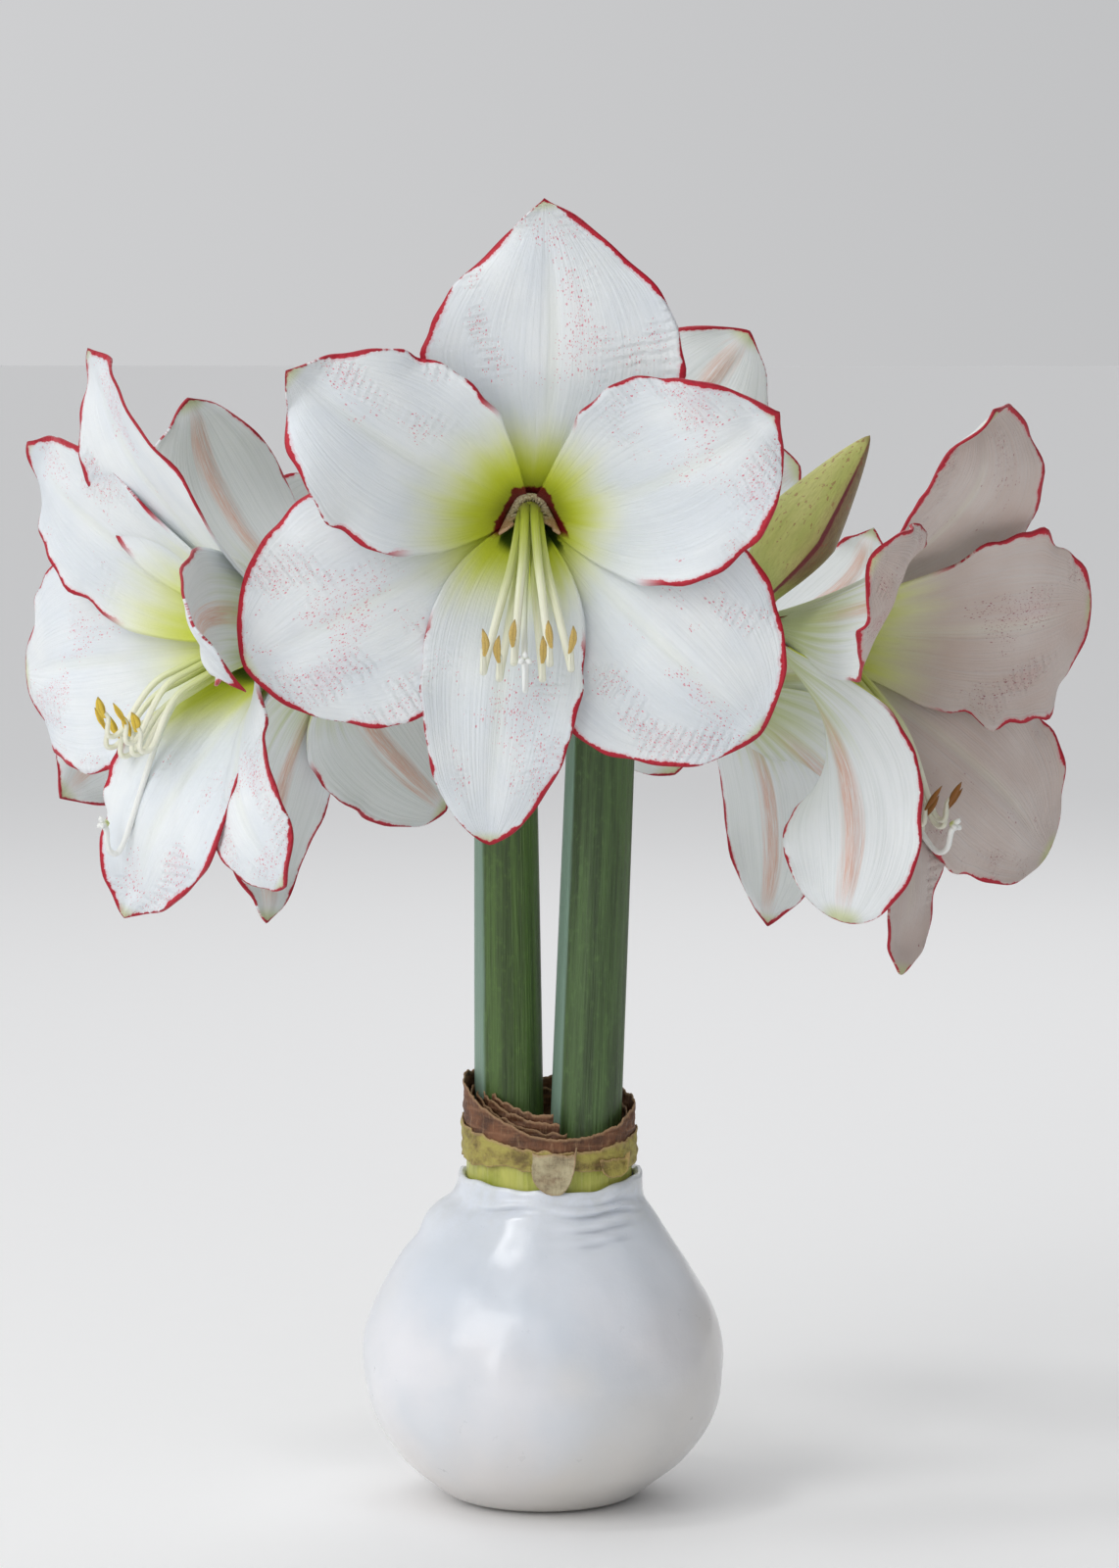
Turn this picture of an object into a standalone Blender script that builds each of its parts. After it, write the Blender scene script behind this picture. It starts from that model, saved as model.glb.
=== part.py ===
"""A waxed amaryllis in flower: a bulb in a coat of white wax, with two scapes, six open blooms and a bud.

The origin is the middle of the wax coat's flat foot, +Z is up, and the front bloom faces -Y.
Sizes in this file are in millimetres, and MM turns them into Blender's metres.
"""

import math
import random
from typing import NamedTuple

import bmesh
import bpy
from mathutils import Matrix, Vector

MM = 0.001
TOUCHING = 0.3  # the gap kept between two pieces that grow or rest on each other

# Wax coat and the bulb in it
FOOT_RADIUS = 22
WAX_OUTLINE = (  # radius and height, from the edge of the foot up to the rim at the neck
    (27.5, 1.4),
    (33.5, 5.5),
    (42.5, 13),
    (50, 25),
    (52.7, 38),
    (52, 49),
    (49, 59.5),
    (42.7, 70.5),
    (34.8, 81),
    (29.2, 88),
    (27.6, 91),
    (27.4, 94),
)
WAX_WALL = 2.5
WAX_SIDES = 30
BULB_SIDES = 24
NECK_DEPTH_SHARE = 0.86  # the neck is an oval, shallower than it is wide
NECK_SHIFT = 2  # how far the neck leans to the right
LUMP = 4.2  # how far the bulb swells out on its left, right below the rim
LUMP_HEIGHTS = (77, 86.5, 87.5, 91)  # where that swelling starts, is full, and ends
BULB_NECK_RADIUS = 24.4
BULB_TOP = 109
COLLAR_WALL = 1.3
COLLAR_BOTTOM = 103
COLLAR_TOP = 119

# Scapes, the leafless flower stems
SCAPE_SOCKET = 78  # the height at which a scape starts, down in the bulb
SCAPE_RADII = {"left": (10.3, 9.1), "right": (10.5, 10.1)}  # at the foot and under the flowers
RECEPTACLE_RADIUS = 12.4
PEDICEL_RING = 7.4  # how far from a scape's middle its pedicels start
PEDICEL_RADIUS = 3.9
OVARY_RADIUS = 5.8
OVARY_LENGTH = 15

# Blooms
BLADE = 0.8  # thickness of a tepal
TUBE_RADIUS = 5.2
TUBE_FLOOR = 6  # the depth of solid tissue at the bottom of the throat
THROAT_HANDLE = 0.36  # how much of a tepal runs along the throat
FLARE_HANDLE = 0.34  # how much of it runs along the open flare
THROAT_ANGLE = 24  # between a tepal and the bloom's axis, at its foot
WHORL_ANGLE = 3  # how much wider the outer whorl's throat opens than the inner one's
SHOULDER = 0.42  # where along a tepal it starts to narrow to its tip
SPREAD = 0.98  # half the share of the throat that a tepal may fill, in radians


class Tepal(NamedTuple):
    """A tepal, with its tip's place seen by someone who faces the bloom."""

    right: float
    up: float
    out: float
    wide: float = 60
    back: float = 25  # degrees by which the tip leans back
    cup: float = 12  # degrees by which each margin turns forward
    turn: float = 0  # degrees of twist at the tip
    sway: float = 0  # how far its middle lies to one side
    wave: float = 1.6  # height of the waves in its margins
    blunt: float = 0.65  # under 1, and the less it is the rounder the tip's end
    taper: float = 2.1  # near 1, its sides run straight to the tip, and above that they bulge


class Bloom(NamedTuple):
    """A bloom on its pedicel. Heading 0 faces -Y and 90 faces +X."""

    scape: str
    base: tuple
    heading: float
    pitch: float
    root: float  # where on the scape's top the pedicel starts, in degrees from +X towards +Y
    top: Tepal
    upper_left: Tepal
    upper_right: Tepal
    lower_left: Tepal
    lower_right: Tepal
    bottom: Tepal
    anthers: tuple = (-30, 66)  # up and out
    style_drop: float = 0  # how far the style hangs below the anthers
    grid: tuple = (7, 6)  # facets along and across a tepal


OUTER_WHORL = ("top", "lower_left", "lower_right")
INNER_WHORL = ("upper_left", "upper_right", "bottom")

SCAPES = {
    "left": {"foot": (-9.6, 3.7, SCAPE_SOCKET), "top": (-10.9, 6, 246)},
    "right": {"foot": (11.6, -4, SCAPE_SOCKET), "top": (17.2, 2, 240)},
}

BLOOMS = {
    "front": Bloom(
        scape="left",
        base=(-3.5, -32, 293),
        heading=0,
        pitch=-2,
        root=-65,
        top=Tepal(4, 90, 40, wide=102, back=22, cup=-14, sway=-6, blunt=1, taper=1.5),
        upper_left=Tepal(-66, 43, 48, wide=62, back=35, cup=4, sway=4, wave=2.5, blunt=0.85),
        upper_right=Tepal(69, 32, 48, wide=72, back=30, cup=4, sway=-7, wave=2, blunt=0.9),
        lower_left=Tepal(-80, -41, 38, wide=80, back=25, cup=-10),
        lower_right=Tepal(65, -60, 38, wide=82, back=25, cup=-10),
        bottom=Tepal(-11, -91, 44, wide=48, back=12, cup=8, sway=-3),
    ),
    "left": Bloom(
        scape="left",
        base=(-71, -8, 254),
        heading=-60,
        pitch=0,
        root=215,
        top=Tepal(-20, 86, 55, wide=62, back=20, cup=25, turn=-4, sway=-16, blunt=1),
        upper_left=Tepal(-57, 58, 54, wide=52, back=30, blunt=0.9, sway=-4),
        upper_right=Tepal(74, -8, 54, wide=46, back=65, cup=-20, turn=25, sway=20, blunt=1.2, taper=1.3),
        lower_left=Tepal(-84, -12, 46, wide=76, back=25, cup=-8),
        lower_right=Tepal(64, -64, 34, wide=42, back=30, cup=-5, turn=-5),
        bottom=Tepal(-8, -78, 49, wide=60, back=20, turn=-20, sway=18, blunt=0.85),
        anthers=(-19, 59),
        style_drop=26,
    ),
    "right": Bloom(
        scape="right",
        base=(68, 0, 258),
        heading=55,
        pitch=-10,
        root=-10,
        top=Tepal(-5, 78, 55, wide=66, back=25, cup=8, turn=-10, sway=-17, blunt=0.75),
        upper_left=Tepal(-56, 34, 60, wide=46, back=75, cup=-25, blunt=0.5),
        upper_right=Tepal(70, 17, 62, wide=74, back=15, blunt=0.6),
        lower_left=Tepal(-30, -74, 54, wide=48, back=0, cup=0, turn=-100, blunt=0.45),
        lower_right=Tepal(72, -60, 60, wide=72, back=15, cup=-8, blunt=0.6),
        bottom=Tepal(2, -92, 56, wide=40, back=10, sway=8),
        anthers=(-38, 62),
    ),
    "back": Bloom(
        scape="right",
        base=(10, 42, 277),
        heading=180,
        pitch=0,
        grid=(6, 4),
        root=128,
        top=Tepal(-54, 68, 42, wide=66, blunt=0.8),
        upper_left=Tepal(-70, 26, 44, wide=56),
        upper_right=Tepal(36, 52, 58, wide=54),
        lower_left=Tepal(-31, -70, 40, wide=50),
        lower_right=Tepal(50, -10, 60, wide=56),
        bottom=Tepal(34, -66, 50, wide=50),
    ),
    "back_left": Bloom(
        scape="left",
        base=(-56, 26, 250),
        heading=-136,
        pitch=0,
        grid=(6, 4),
        root=125,
        top=Tepal(24, 75, 45, wide=66, blunt=0.8),
        upper_left=Tepal(-44, 48, 58, wide=52),
        upper_right=Tepal(50, 34, 68, wide=50),
        lower_left=Tepal(-66, -55, 28, wide=50),
        lower_right=Tepal(56, -46, 68, wide=58, blunt=0.9),
        bottom=Tepal(0, -86, 38, wide=48, sway=-5, blunt=0.9),
    ),
    "back_right": Bloom(
        scape="right",
        base=(50, 32, 240),
        heading=138,
        pitch=0,
        grid=(6, 4),
        root=58,
        top=Tepal(-12, 45, 60, wide=50, blunt=0.9),
        upper_left=Tepal(-60, 10, 50, wide=48),
        upper_right=Tepal(34, 14, 66, wide=46),
        lower_left=Tepal(-42, -68, 38, wide=50),
        lower_right=Tepal(30, -46, 60, wide=44),
        bottom=Tepal(8, -78, 34, wide=50, blunt=0.9),
        anthers=(-12, 60),
    ),
}

BUD = {"scape": "right", "base": (60, -12, 266), "heading": 78, "pitch": 54, "root": -80}
BUD_LENGTH = 60
BUD_RADIUS = 11.5

# Stamens and pistil
THROAT_DISC = 3.4  # radius of the tissue that joins the feet of the six filaments
DISC_HEIGHT = 1.6
ANTHER_PLACES = (11, 6, -4, -13, -8, 3)  # how far each anther hangs to the right
FILAMENT_RADIUS = 1.1
ANTHER_LENGTH = 9
ANTHER_RADIUS = 1.6
HOOK_DEPTH = 6  # how far below its anther a filament hangs before it turns up
STYLE_RADIUS = 0.9
STIGMA_RADIUS = 1.9

COLOURS = {
    "wax": ("white wax", (0.78, 0.77, 0.76), 0.28),
    "bulb": ("bulb neck", (0.50, 0.50, 0.12), 0.5),
    "collar": ("dry bulb scale", (0.24, 0.12, 0.05), 0.75),
    "scape": ("scape green", (0.16, 0.25, 0.09), 0.45),
    "pedicel": ("pedicel green", (0.30, 0.40, 0.14), 0.5),
    "tepal": ("white tepal", (0.82, 0.83, 0.80), 0.55),
    "stamen": ("pale yellow stamen", (0.72, 0.74, 0.42), 0.5),
    "style": ("white style", (0.80, 0.82, 0.72), 0.5),
    "bud": ("green bud", (0.40, 0.44, 0.13), 0.5),
}


def clear_scene():
    for old in list(bpy.data.objects):
        bpy.data.objects.remove(old)


def material(kind):
    name, colour, roughness = COLOURS[kind]
    found = bpy.data.materials.get(name)
    if found:
        return found
    made = bpy.data.materials.new(name)
    made.use_nodes = True
    shader = made.node_tree.nodes["Principled BSDF"]
    shader.inputs["Base Color"].default_value = (*colour, 1)
    shader.inputs["Roughness"].default_value = roughness
    shader.inputs["Metallic"].default_value = 0
    return made


def add_object(name, data, kind, parent=None):
    """Links an object that shows the data, smooth-shaded and in the colour of its kind."""
    made = bpy.data.objects.new(name, data)
    bpy.context.scene.collection.objects.link(made)
    made.parent = parent
    data.materials.append(material(kind))
    if made.type == "MESH":
        data.shade_smooth()
        data.set_sharp_from_angle(angle=math.radians(50))
    return made


def mesh_of(name, bm):
    data = bpy.data.meshes.new(name)
    bm.to_mesh(data)
    bm.free()
    return data


def smooth_step(low, high, x):
    x = min(max((x - low) / (high - low), 0), 1)
    return x * x * (3 - 2 * x)


def bezier(points, x):
    """The point and direction at share x of a cubic curve."""
    a, b, c, d = points
    y = 1 - x
    place = y**3 * a + 3 * y * y * x * b + 3 * y * x * x * c + x**3 * d
    direction = y * y * (b - a) + 2 * y * x * (c - b) + x * x * (d - c)
    return place, direction.normalized()


def sheet(point_at, rows, columns):
    """A triangulated sheet. point_at takes the share along it and, from -1 to 1, the place across it."""
    bm = bmesh.new()
    bmesh.ops.create_grid(bm, x_segments=columns, y_segments=rows, size=1)
    for vertex in bm.verts:
        vertex.co = point_at((vertex.co.y + 1) / 2, vertex.co.x) * MM
    bmesh.ops.remove_doubles(bm, verts=bm.verts, dist=0.05 * MM)
    bmesh.ops.triangulate(bm, faces=bm.faces, quad_method="SHORT_EDGE")
    return bm


def thicken(obj, thickness):
    shell = obj.modifiers.new("Thickness", "SOLIDIFY")
    shell.thickness = thickness * MM
    shell.offset = 0


def turned(profile, sides, shape=None):
    """A solid of revolution about Z from (radius, height) points. shape moves each finished point."""
    bm = bmesh.new()
    verts = [bm.verts.new((radius, 0, height)) for radius, height in profile]
    edges = [bm.edges.new(pair) for pair in zip(verts, verts[1:])]
    bmesh.ops.spin(
        bm,
        geom=verts + edges,
        cent=(0, 0, 0),
        axis=(0, 0, 1),
        angle=2 * math.pi,
        steps=sides,
        use_merge=True,
    )
    bmesh.ops.remove_doubles(bm, verts=bm.verts, dist=0.01)
    for vertex in bm.verts:
        moved = shape(vertex.co) if shape else vertex.co
        vertex.co = Vector(moved) * MM
    bmesh.ops.recalc_face_normals(bm, faces=bm.faces)
    return bm


def tube(name, knots, sides, kind, parent=None, steps=3):
    """A closed tube along a smooth path. Each knot has its place, the path's handle there and its radius."""
    curve = bpy.data.curves.new(name, "CURVE")
    curve.dimensions = "3D"
    curve.bevel_depth = MM
    curve.bevel_resolution = (sides - 4) // 2
    curve.resolution_u = steps
    curve.use_fill_caps = True
    spline = curve.splines.new("BEZIER")
    spline.bezier_points.add(len(knots) - 1)
    for point, (place, handle, radius) in zip(spline.bezier_points, knots):
        point.co = Vector(place) * MM
        point.handle_left = (Vector(place) - Vector(handle)) * MM
        point.handle_right = (Vector(place) + Vector(handle)) * MM
        point.radius = radius
    return add_object(name, curve, kind, parent)


def evaluated_mesh(obj):
    graph = bpy.context.evaluated_depsgraph_get()
    return bpy.data.meshes.new_from_object(obj.evaluated_get(graph))


def as_mesh(curve):
    """Puts a mesh of the same form in place of a curve object."""
    bpy.context.view_layer.update()
    bm = bmesh.new()
    bm.from_mesh(evaluated_mesh(curve))
    bmesh.ops.remove_doubles(bm, verts=bm.verts, dist=0.01 * MM)
    name = f"{curve.name}_mesh"
    made = bpy.data.objects.new(name, mesh_of(name, bm))
    bpy.context.scene.collection.objects.link(made)
    made.parent = curve.parent
    bpy.data.objects.remove(curve)
    return made


def fused(base, repeats):
    """Joins the repeats into the base object by one Boolean union, and removes them."""
    collection = bpy.data.collections.new("repeats")
    bpy.context.scene.collection.children.link(collection)
    for repeat in repeats:
        collection.objects.link(repeat)
    union = base.modifiers.new("Union", "BOOLEAN")
    union.operation = "UNION"
    union.operand_type = "COLLECTION"
    union.solver = "MANIFOLD"
    union.collection = collection
    bpy.context.view_layer.update()
    base.data = evaluated_mesh(base)
    base.modifiers.clear()
    for repeat in repeats:
        bpy.data.objects.remove(repeat)
    bpy.data.collections.remove(collection)
    return base


def uneven(point):
    """Gives what is turned true the real bulb's unevenness: slow dents, and an oval neck that leans."""
    x, y, z = point
    angle = math.atan2(y, x)
    dents = 0.012 * math.sin(2 * angle + 2.2) + 0.009 * math.sin(3 * angle + z / 17)
    scale = 1 + dents * smooth_step(3, 25, z) * (1 - smooth_step(70, 90, z))
    oval = 1 - (1 - NECK_DEPTH_SHARE) * smooth_step(60, 92, z)
    start, full, wane, end = LUMP_HEIGHTS
    lump = LUMP * smooth_step(start, full, z) * (1 - smooth_step(wane, end, z))
    shift = NECK_SHIFT * smooth_step(72, 94, z) - lump * smooth_step(0.72, 1, -math.cos(angle))
    return x * scale + shift, y * scale * oval, z


def wax_form(point):
    """The wax coat's unevenness, with the wavy rim where the dipping stopped."""
    x, y, z = uneven(point)
    angle = math.atan2(y, x)
    drip = 1.3 * math.sin(3 * angle + 0.9) + 0.8 * math.sin(7 * angle)
    return x, y, z + drip * smooth_step(90, 94, point[2])


def inset_outline(distance, points):
    """Points of the wax coat's outline moved in, on a flat floor that is as far up from its foot."""
    wall = [(radius - distance, height) for radius, height in points]
    return [(0, distance), (wall[0][0] - 4, distance), *wall]


def build_wax_coat():
    profile = [(0, 0), (FOOT_RADIUS, 0), *WAX_OUTLINE, *inset_outline(WAX_WALL, WAX_OUTLINE[1:])[::-1]]
    return add_object("wax_coat", mesh_of("wax_coat", turned(profile, WAX_SIDES, wax_form)), "wax")


def build_bulb():
    body = inset_outline(WAX_WALL + 2 * TOUCHING, [*WAX_OUTLINE[1:8:2], WAX_OUTLINE[8]])
    neck = [
        (BULB_NECK_RADIUS + 1.5, WAX_OUTLINE[9][1]),
        (BULB_NECK_RADIUS, WAX_OUTLINE[10][1]),
        (BULB_NECK_RADIUS, BULB_TOP - 2),
        (BULB_NECK_RADIUS - 2, BULB_TOP),
    ]
    profile = [*body, *neck, (0, BULB_TOP)]
    bulb = add_object("bulb", mesh_of("bulb", turned(profile, BULB_SIDES, uneven)), "bulb")
    for side, scape in SCAPES.items():
        cut = bulb.modifiers.new(f"Socket {side}", "BOOLEAN")
        cut.operation = "DIFFERENCE"
        cut.object = socket_cutter(side, Vector(scape["foot"]), Vector(scape["top"]))
    return bulb


def socket_cutter(side, foot, top):
    """The hole in the bulb that a scape stands in, along the way the scape leans."""
    radius = (SCAPE_RADII[side][0] + 1.5 * TOUCHING) * MM
    depth = 60 * MM
    bm = bmesh.new()
    bmesh.ops.create_cone(bm, cap_ends=True, segments=20, radius1=radius, radius2=radius, depth=depth)
    bmesh.ops.translate(bm, verts=bm.verts, vec=(0, 0, depth / 2 - TOUCHING * MM))
    cutter = add_object(f"cutter_{side}", mesh_of(f"cutter_{side}", bm), "bulb")
    cutter.location = foot * MM
    cutter.rotation_euler = (top - foot).to_track_quat("Z", "Y").to_euler()
    cutter.hide_render = True
    cutter.display_type = "WIRE"
    return cutter


def build_scape(side, scape):
    foot, top = Vector(scape["foot"]), Vector(scape["top"])
    thick, thin = SCAPE_RADII[side]
    knots = [
        (foot, (top - foot) / 3, thick),
        (top - Vector((0, 0, 14)), Vector((0, 0, 5)), thin),
        (top, Vector((0, 0, 4)), RECEPTACLE_RADIUS),
    ]
    return tube(f"{side}_scape", knots, 16, "scape")


def build_dry_collar():
    """The brown, papery stubs of the bulb's old leaves, a torn collar round both scapes."""

    def torn(point):
        x, y, z = point
        angle = math.atan2(y, x)
        top = smooth_step(COLLAR_BOTTOM + 5, COLLAR_TOP, z)
        tear = 6 * math.sin(angle) - 3.5 * math.cos(angle)
        tear += 2.5 * math.cos(2 * angle) + math.sin(8 * angle)
        hem = 0.8 * math.sin(5 * angle + 1) * (1 - top)
        return x + NECK_SHIFT, y * NECK_DEPTH_SHARE, z + top * tear + hem

    radius = BULB_NECK_RADIUS + TOUCHING + COLLAR_WALL
    outer = [(radius, COLLAR_BOTTOM), (radius, COLLAR_BOTTOM + 7), (radius - 0.9, COLLAR_TOP)]
    inner = [(r - COLLAR_WALL, z) for r, z in outer[::-1]]
    collar = turned([*outer, *inner, outer[0]], WAX_SIDES, torn)
    return add_object("dry_collar", mesh_of("dry_collar", collar), "collar")


def axes(heading, pitch):
    """A rotation whose X, Y and Z are right, up and out, for a bloom or bud that faces that way."""
    h, p = math.radians(heading), math.radians(pitch)
    out = Vector((math.sin(h) * math.cos(p), -math.cos(h) * math.cos(p), math.sin(p)))
    right = Vector((0, 0, 1)).cross(out).normalized()
    up = out.cross(right)
    return Matrix((right, up, out)).transposed()


def half_width(along, radius, tepal):
    """Half the width of a tepal: it fills its part of the throat, is broad-shouldered and ends in a point."""
    throat = SPREAD * radius
    width = (throat**-4 + (tepal.wide / 2) ** -4) ** -0.25
    share = max((along - SHOULDER) / (1 - SHOULDER), 0)
    return width * (1 - share**tepal.taper) ** tepal.blunt


def tepal_surface(tepal, outer, seed):
    """The function of a tepal's place: share along, place across -> point in the bloom's own axes."""
    tip = Vector((tepal.right, tepal.up, tepal.out))
    spoke = Vector((tepal.right, tepal.up, 0)).normalized()
    side = Vector((0, 0, 1)).cross(spoke)
    length = tip.length
    start = spoke * (TUBE_RADIUS - (0.4 if outer else 1.6)) + Vector((0, 0, 1))
    throat = math.radians(THROAT_ANGLE + (WHORL_ANGLE if outer else 0))
    lean = math.radians(tepal.back)
    rise = spoke * math.sin(throat) + Vector((0, 0, math.cos(throat)))
    fall = spoke * math.cos(lean) - Vector((0, 0, math.sin(lean)))
    curve = (
        start,
        start + rise * length * THROAT_HANDLE + side * tepal.sway,
        tip - fall * length * FLARE_HANDLE + side * tepal.sway,
        tip,
    )
    draw = random.Random(seed)
    phases = [draw.uniform(0, 2 * math.pi) for _ in range(2)]

    def place(along, across):
        middle, forward = bezier(curve, along)
        radius = max(Vector(middle[:2]).length, 3)
        width = half_width(along, radius, tepal)
        sideways = (side - side.dot(forward) * forward).normalized()
        inward = forward.cross(sideways)
        twist = Matrix.Rotation(math.radians(tepal.turn) * smooth_step(0.05, 0.75, along), 3, forward)
        sideways, inward = twist @ sideways, twist @ inward
        open_share = smooth_step(0.35, 0.80, along)
        cup = math.radians(tepal.cup) / (tepal.wide / 2)
        bend = (1 - open_share) * max(forward.z, 0) / radius + open_share * cup
        turned_by = bend * width * across
        if abs(bend) < 1e-5:
            over, lift = width * across, 0
        else:
            over, lift = math.sin(turned_by) / bend, (1 - math.cos(turned_by)) / bend
        phase = phases[0 if across < 0 else 1]
        waves = math.sin(along * 15 + phase) * abs(across) ** 3 * smooth_step(0.25, 0.6, along)
        lift += tepal.wave * waves * (1 - smooth_step(0.9, 1, along))
        return middle + sideways * over + inward * lift

    return place


def build_perianth(name, bloom, seed, parent):
    """Six tepals in two whorls, grown together at the floor of the throat."""
    floor = turned([(0, 0), (TUBE_RADIUS - 0.6, 0), (TUBE_RADIUS + 0.5, TUBE_FLOOR), (0, TUBE_FLOOR)], 12)
    body = add_object(f"{name}_perianth", mesh_of(f"{name}_perianth", floor), "tepal", parent)
    tepals = []
    for number, place in enumerate(OUTER_WHORL + INNER_WHORL):
        surface = tepal_surface(getattr(bloom, place), place in OUTER_WHORL, seed + number)
        bm = sheet(surface, *bloom.grid)
        tepal = add_object(f"tepal_{number}", mesh_of(f"tepal_{number}", bm), "tepal", parent)
        thicken(tepal, BLADE)
        tepals.append(tepal)
    return fused(body, tepals)


def build_stamens(name, bloom, seed, parent):
    """Six curved filaments that lie low in the throat, each ending in an upturned anther."""
    disc = turned([(0, 0), (THROAT_DISC, 0), (THROAT_DISC - 0.5, DISC_HEIGHT), (0, DISC_HEIGHT)], 8)
    body = add_object(f"{name}_stamens", mesh_of(f"{name}_stamens", disc), "stamen", parent)
    body.location.z = (TUBE_FLOOR + TOUCHING) * MM
    draw = random.Random(seed)
    up, out = bloom.anthers
    filaments = []
    for number, sideways in enumerate(ANTHER_PLACES):
        angle = math.radians(60 * number)
        foot = Vector((2.5 * math.cos(angle), 2.5 * math.sin(angle), 0.6))
        sideways += draw.uniform(-1, 1)
        raised = 3 * math.sin(angle) + draw.uniform(-1, 1)
        end = Vector((sideways, up + raised, out - TUBE_FLOOR + raised))
        middle = Vector((0.5 * sideways, 0.5 * end.y + foot.y - HOOK_DEPTH / 3, 0.62 * end.z))
        anther = end - Vector((0, 0.8, 0.6)) * ANTHER_LENGTH / 2
        knots = [
            (foot, Vector((0, 0, 12)), FILAMENT_RADIUS),
            (middle, Vector((0.16 * sideways, 0.2 * end.y, 9)), FILAMENT_RADIUS),
            (anther - Vector((0, HOOK_DEPTH, 2)), Vector((0, -0.5, 4)), FILAMENT_RADIUS),
            (anther, Vector((0, 1.6, 1.2)), ANTHER_RADIUS),
            (end, Vector((0, 1.6, 0.4)), 0.4 * ANTHER_RADIUS),
        ]
        filaments.append(as_mesh(tube(f"filament_{number}", knots, 4, "stamen", parent, steps=2)))
        filaments[-1].location = body.location
    return fused(body, filaments)


def build_pistil(name, bloom, parent):
    """The style, which lies between the filaments, and its stigma."""
    up, out = bloom.anthers
    foot = Vector((0, 0, TUBE_FLOOR + DISC_HEIGHT + 2 * TOUCHING))
    middle = Vector((-1.2, 0.53 * up - HOOK_DEPTH / 3 - 1.5, 0.62 * out))
    end = Vector((-0.8, up - 5 - bloom.style_drop, out + 9 - 0.2 * bloom.style_drop))
    knots = [
        (foot, Vector((0, 0, 12)), STYLE_RADIUS),
        (middle, Vector((-0.3, 0.25 * up, 9)), STYLE_RADIUS),
        (end - Vector((0, 1.5 * HOOK_DEPTH, 4)), Vector((0, 1, 4)), STYLE_RADIUS),
        (end - Vector((0, 1.5, 1)), Vector((0, 1.5, 1)), STYLE_RADIUS),
        (end, Vector((0, 0.5, 0.4)), STIGMA_RADIUS),
    ]
    return tube(f"{name}_pistil", knots, 6, "style", parent, steps=2)


def build_pedicel(name, scape, root, base, heading, pitch):
    """A flower's own stalk, from the top of the scape to the ovary behind the bloom."""
    angle = math.radians(root)
    ring = Vector((math.cos(angle), math.sin(angle), 0)) * PEDICEL_RING
    start = Vector(SCAPES[scape]["top"]) + ring + Vector((0, 0, TOUCHING))
    out = axes(heading, pitch).col[2]
    end = Vector(base) - out * TOUCHING
    ovary = end - out * OVARY_LENGTH
    reach = (ovary - start).length / 2.6
    knots = [
        (start, Vector((0, 0, reach)), PEDICEL_RADIUS),
        (ovary, out * reach * 0.7, PEDICEL_RADIUS * 0.9),
        (end - out * OVARY_LENGTH * 0.45, out * 4, OVARY_RADIUS),
        (end, out * 3, TUBE_RADIUS - 0.6),
    ]
    return tube(f"{name}_pedicel", knots, 8, "pedicel")


def flower_frame(name, base, heading, pitch):
    """An empty at a flower's base, turned so that its Z leads out of the flower."""
    frame = bpy.data.objects.new(name, None)
    bpy.context.scene.collection.objects.link(frame)
    frame.location = Vector(base) * MM
    frame.rotation_euler = axes(heading, pitch).to_euler()
    return frame


def build_bud():
    """A closed bud, three-sided in section and pointed, on its pedicel."""

    def three_sided(point):
        x, y, z = point
        scale = 1 + 0.06 * math.cos(3 * math.atan2(y, x)) * smooth_step(0, 20, z)
        return x * scale, y * scale, z

    shares = [step / 12 for step in range(13)]
    outline = [(0, 0)]
    for share in shares:
        swell = 0.42 + 0.58 * math.sin(math.pi / 2 * min(share / 0.5, 1)) ** 1.2
        point = (1 - max(share - 0.45, 0) / 0.55) ** 0.75
        outline.append((BUD_RADIUS * swell * point, BUD_LENGTH * share))
    bud = turned(outline, 15, three_sided)
    place = {key: BUD[key] for key in ("base", "heading", "pitch")}
    add_object("bud", mesh_of("bud", bud), "bud", flower_frame("bud_frame", **place))
    build_pedicel("bud", BUD["scape"], BUD["root"], **place)


def build_bloom(name, bloom, seed):
    frame = flower_frame(f"{name}_frame", bloom.base, bloom.heading, bloom.pitch)
    build_perianth(name, bloom, seed, frame)
    build_stamens(name, bloom, seed, frame)
    build_pistil(name, bloom, frame)
    build_pedicel(name, bloom.scape, bloom.root, bloom.base, bloom.heading, bloom.pitch)


def main():
    clear_scene()
    build_wax_coat()
    build_bulb()
    build_dry_collar()
    for side, scape in SCAPES.items():
        build_scape(side, scape)
    for number, (name, bloom) in enumerate(BLOOMS.items()):
        build_bloom(name, bloom, 10 * number)
    build_bud()


main()
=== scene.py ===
"""A waxed amaryllis in flower, dressed for a close look: tepals with crimson rims and flecks, a lime throat,
hooked stamens, torn papery bulb scales and a coat of soft white wax.

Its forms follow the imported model's. Sizes in the tables are in millimetres, and MM turns them into metres.
"""

import math
import random
from dataclasses import dataclass
from typing import NamedTuple

import bmesh
import bpy
from mathutils import Matrix, Vector, noise


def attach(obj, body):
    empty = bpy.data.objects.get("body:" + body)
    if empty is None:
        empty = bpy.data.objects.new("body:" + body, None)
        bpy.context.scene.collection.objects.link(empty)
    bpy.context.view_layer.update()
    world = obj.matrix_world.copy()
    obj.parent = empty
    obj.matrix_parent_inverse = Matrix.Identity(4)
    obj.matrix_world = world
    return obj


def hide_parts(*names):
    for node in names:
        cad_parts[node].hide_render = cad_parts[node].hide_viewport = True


bl_info = {
    "name": "Waxed amaryllis",
    "version": (1, 0, 0),
    "blender": (4, 5, 0),
    "location": "3D View > Sidebar > Amaryllis",
    "description": "Models a waxed amaryllis bulb in flower",
    "category": "Object",
}

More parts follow.
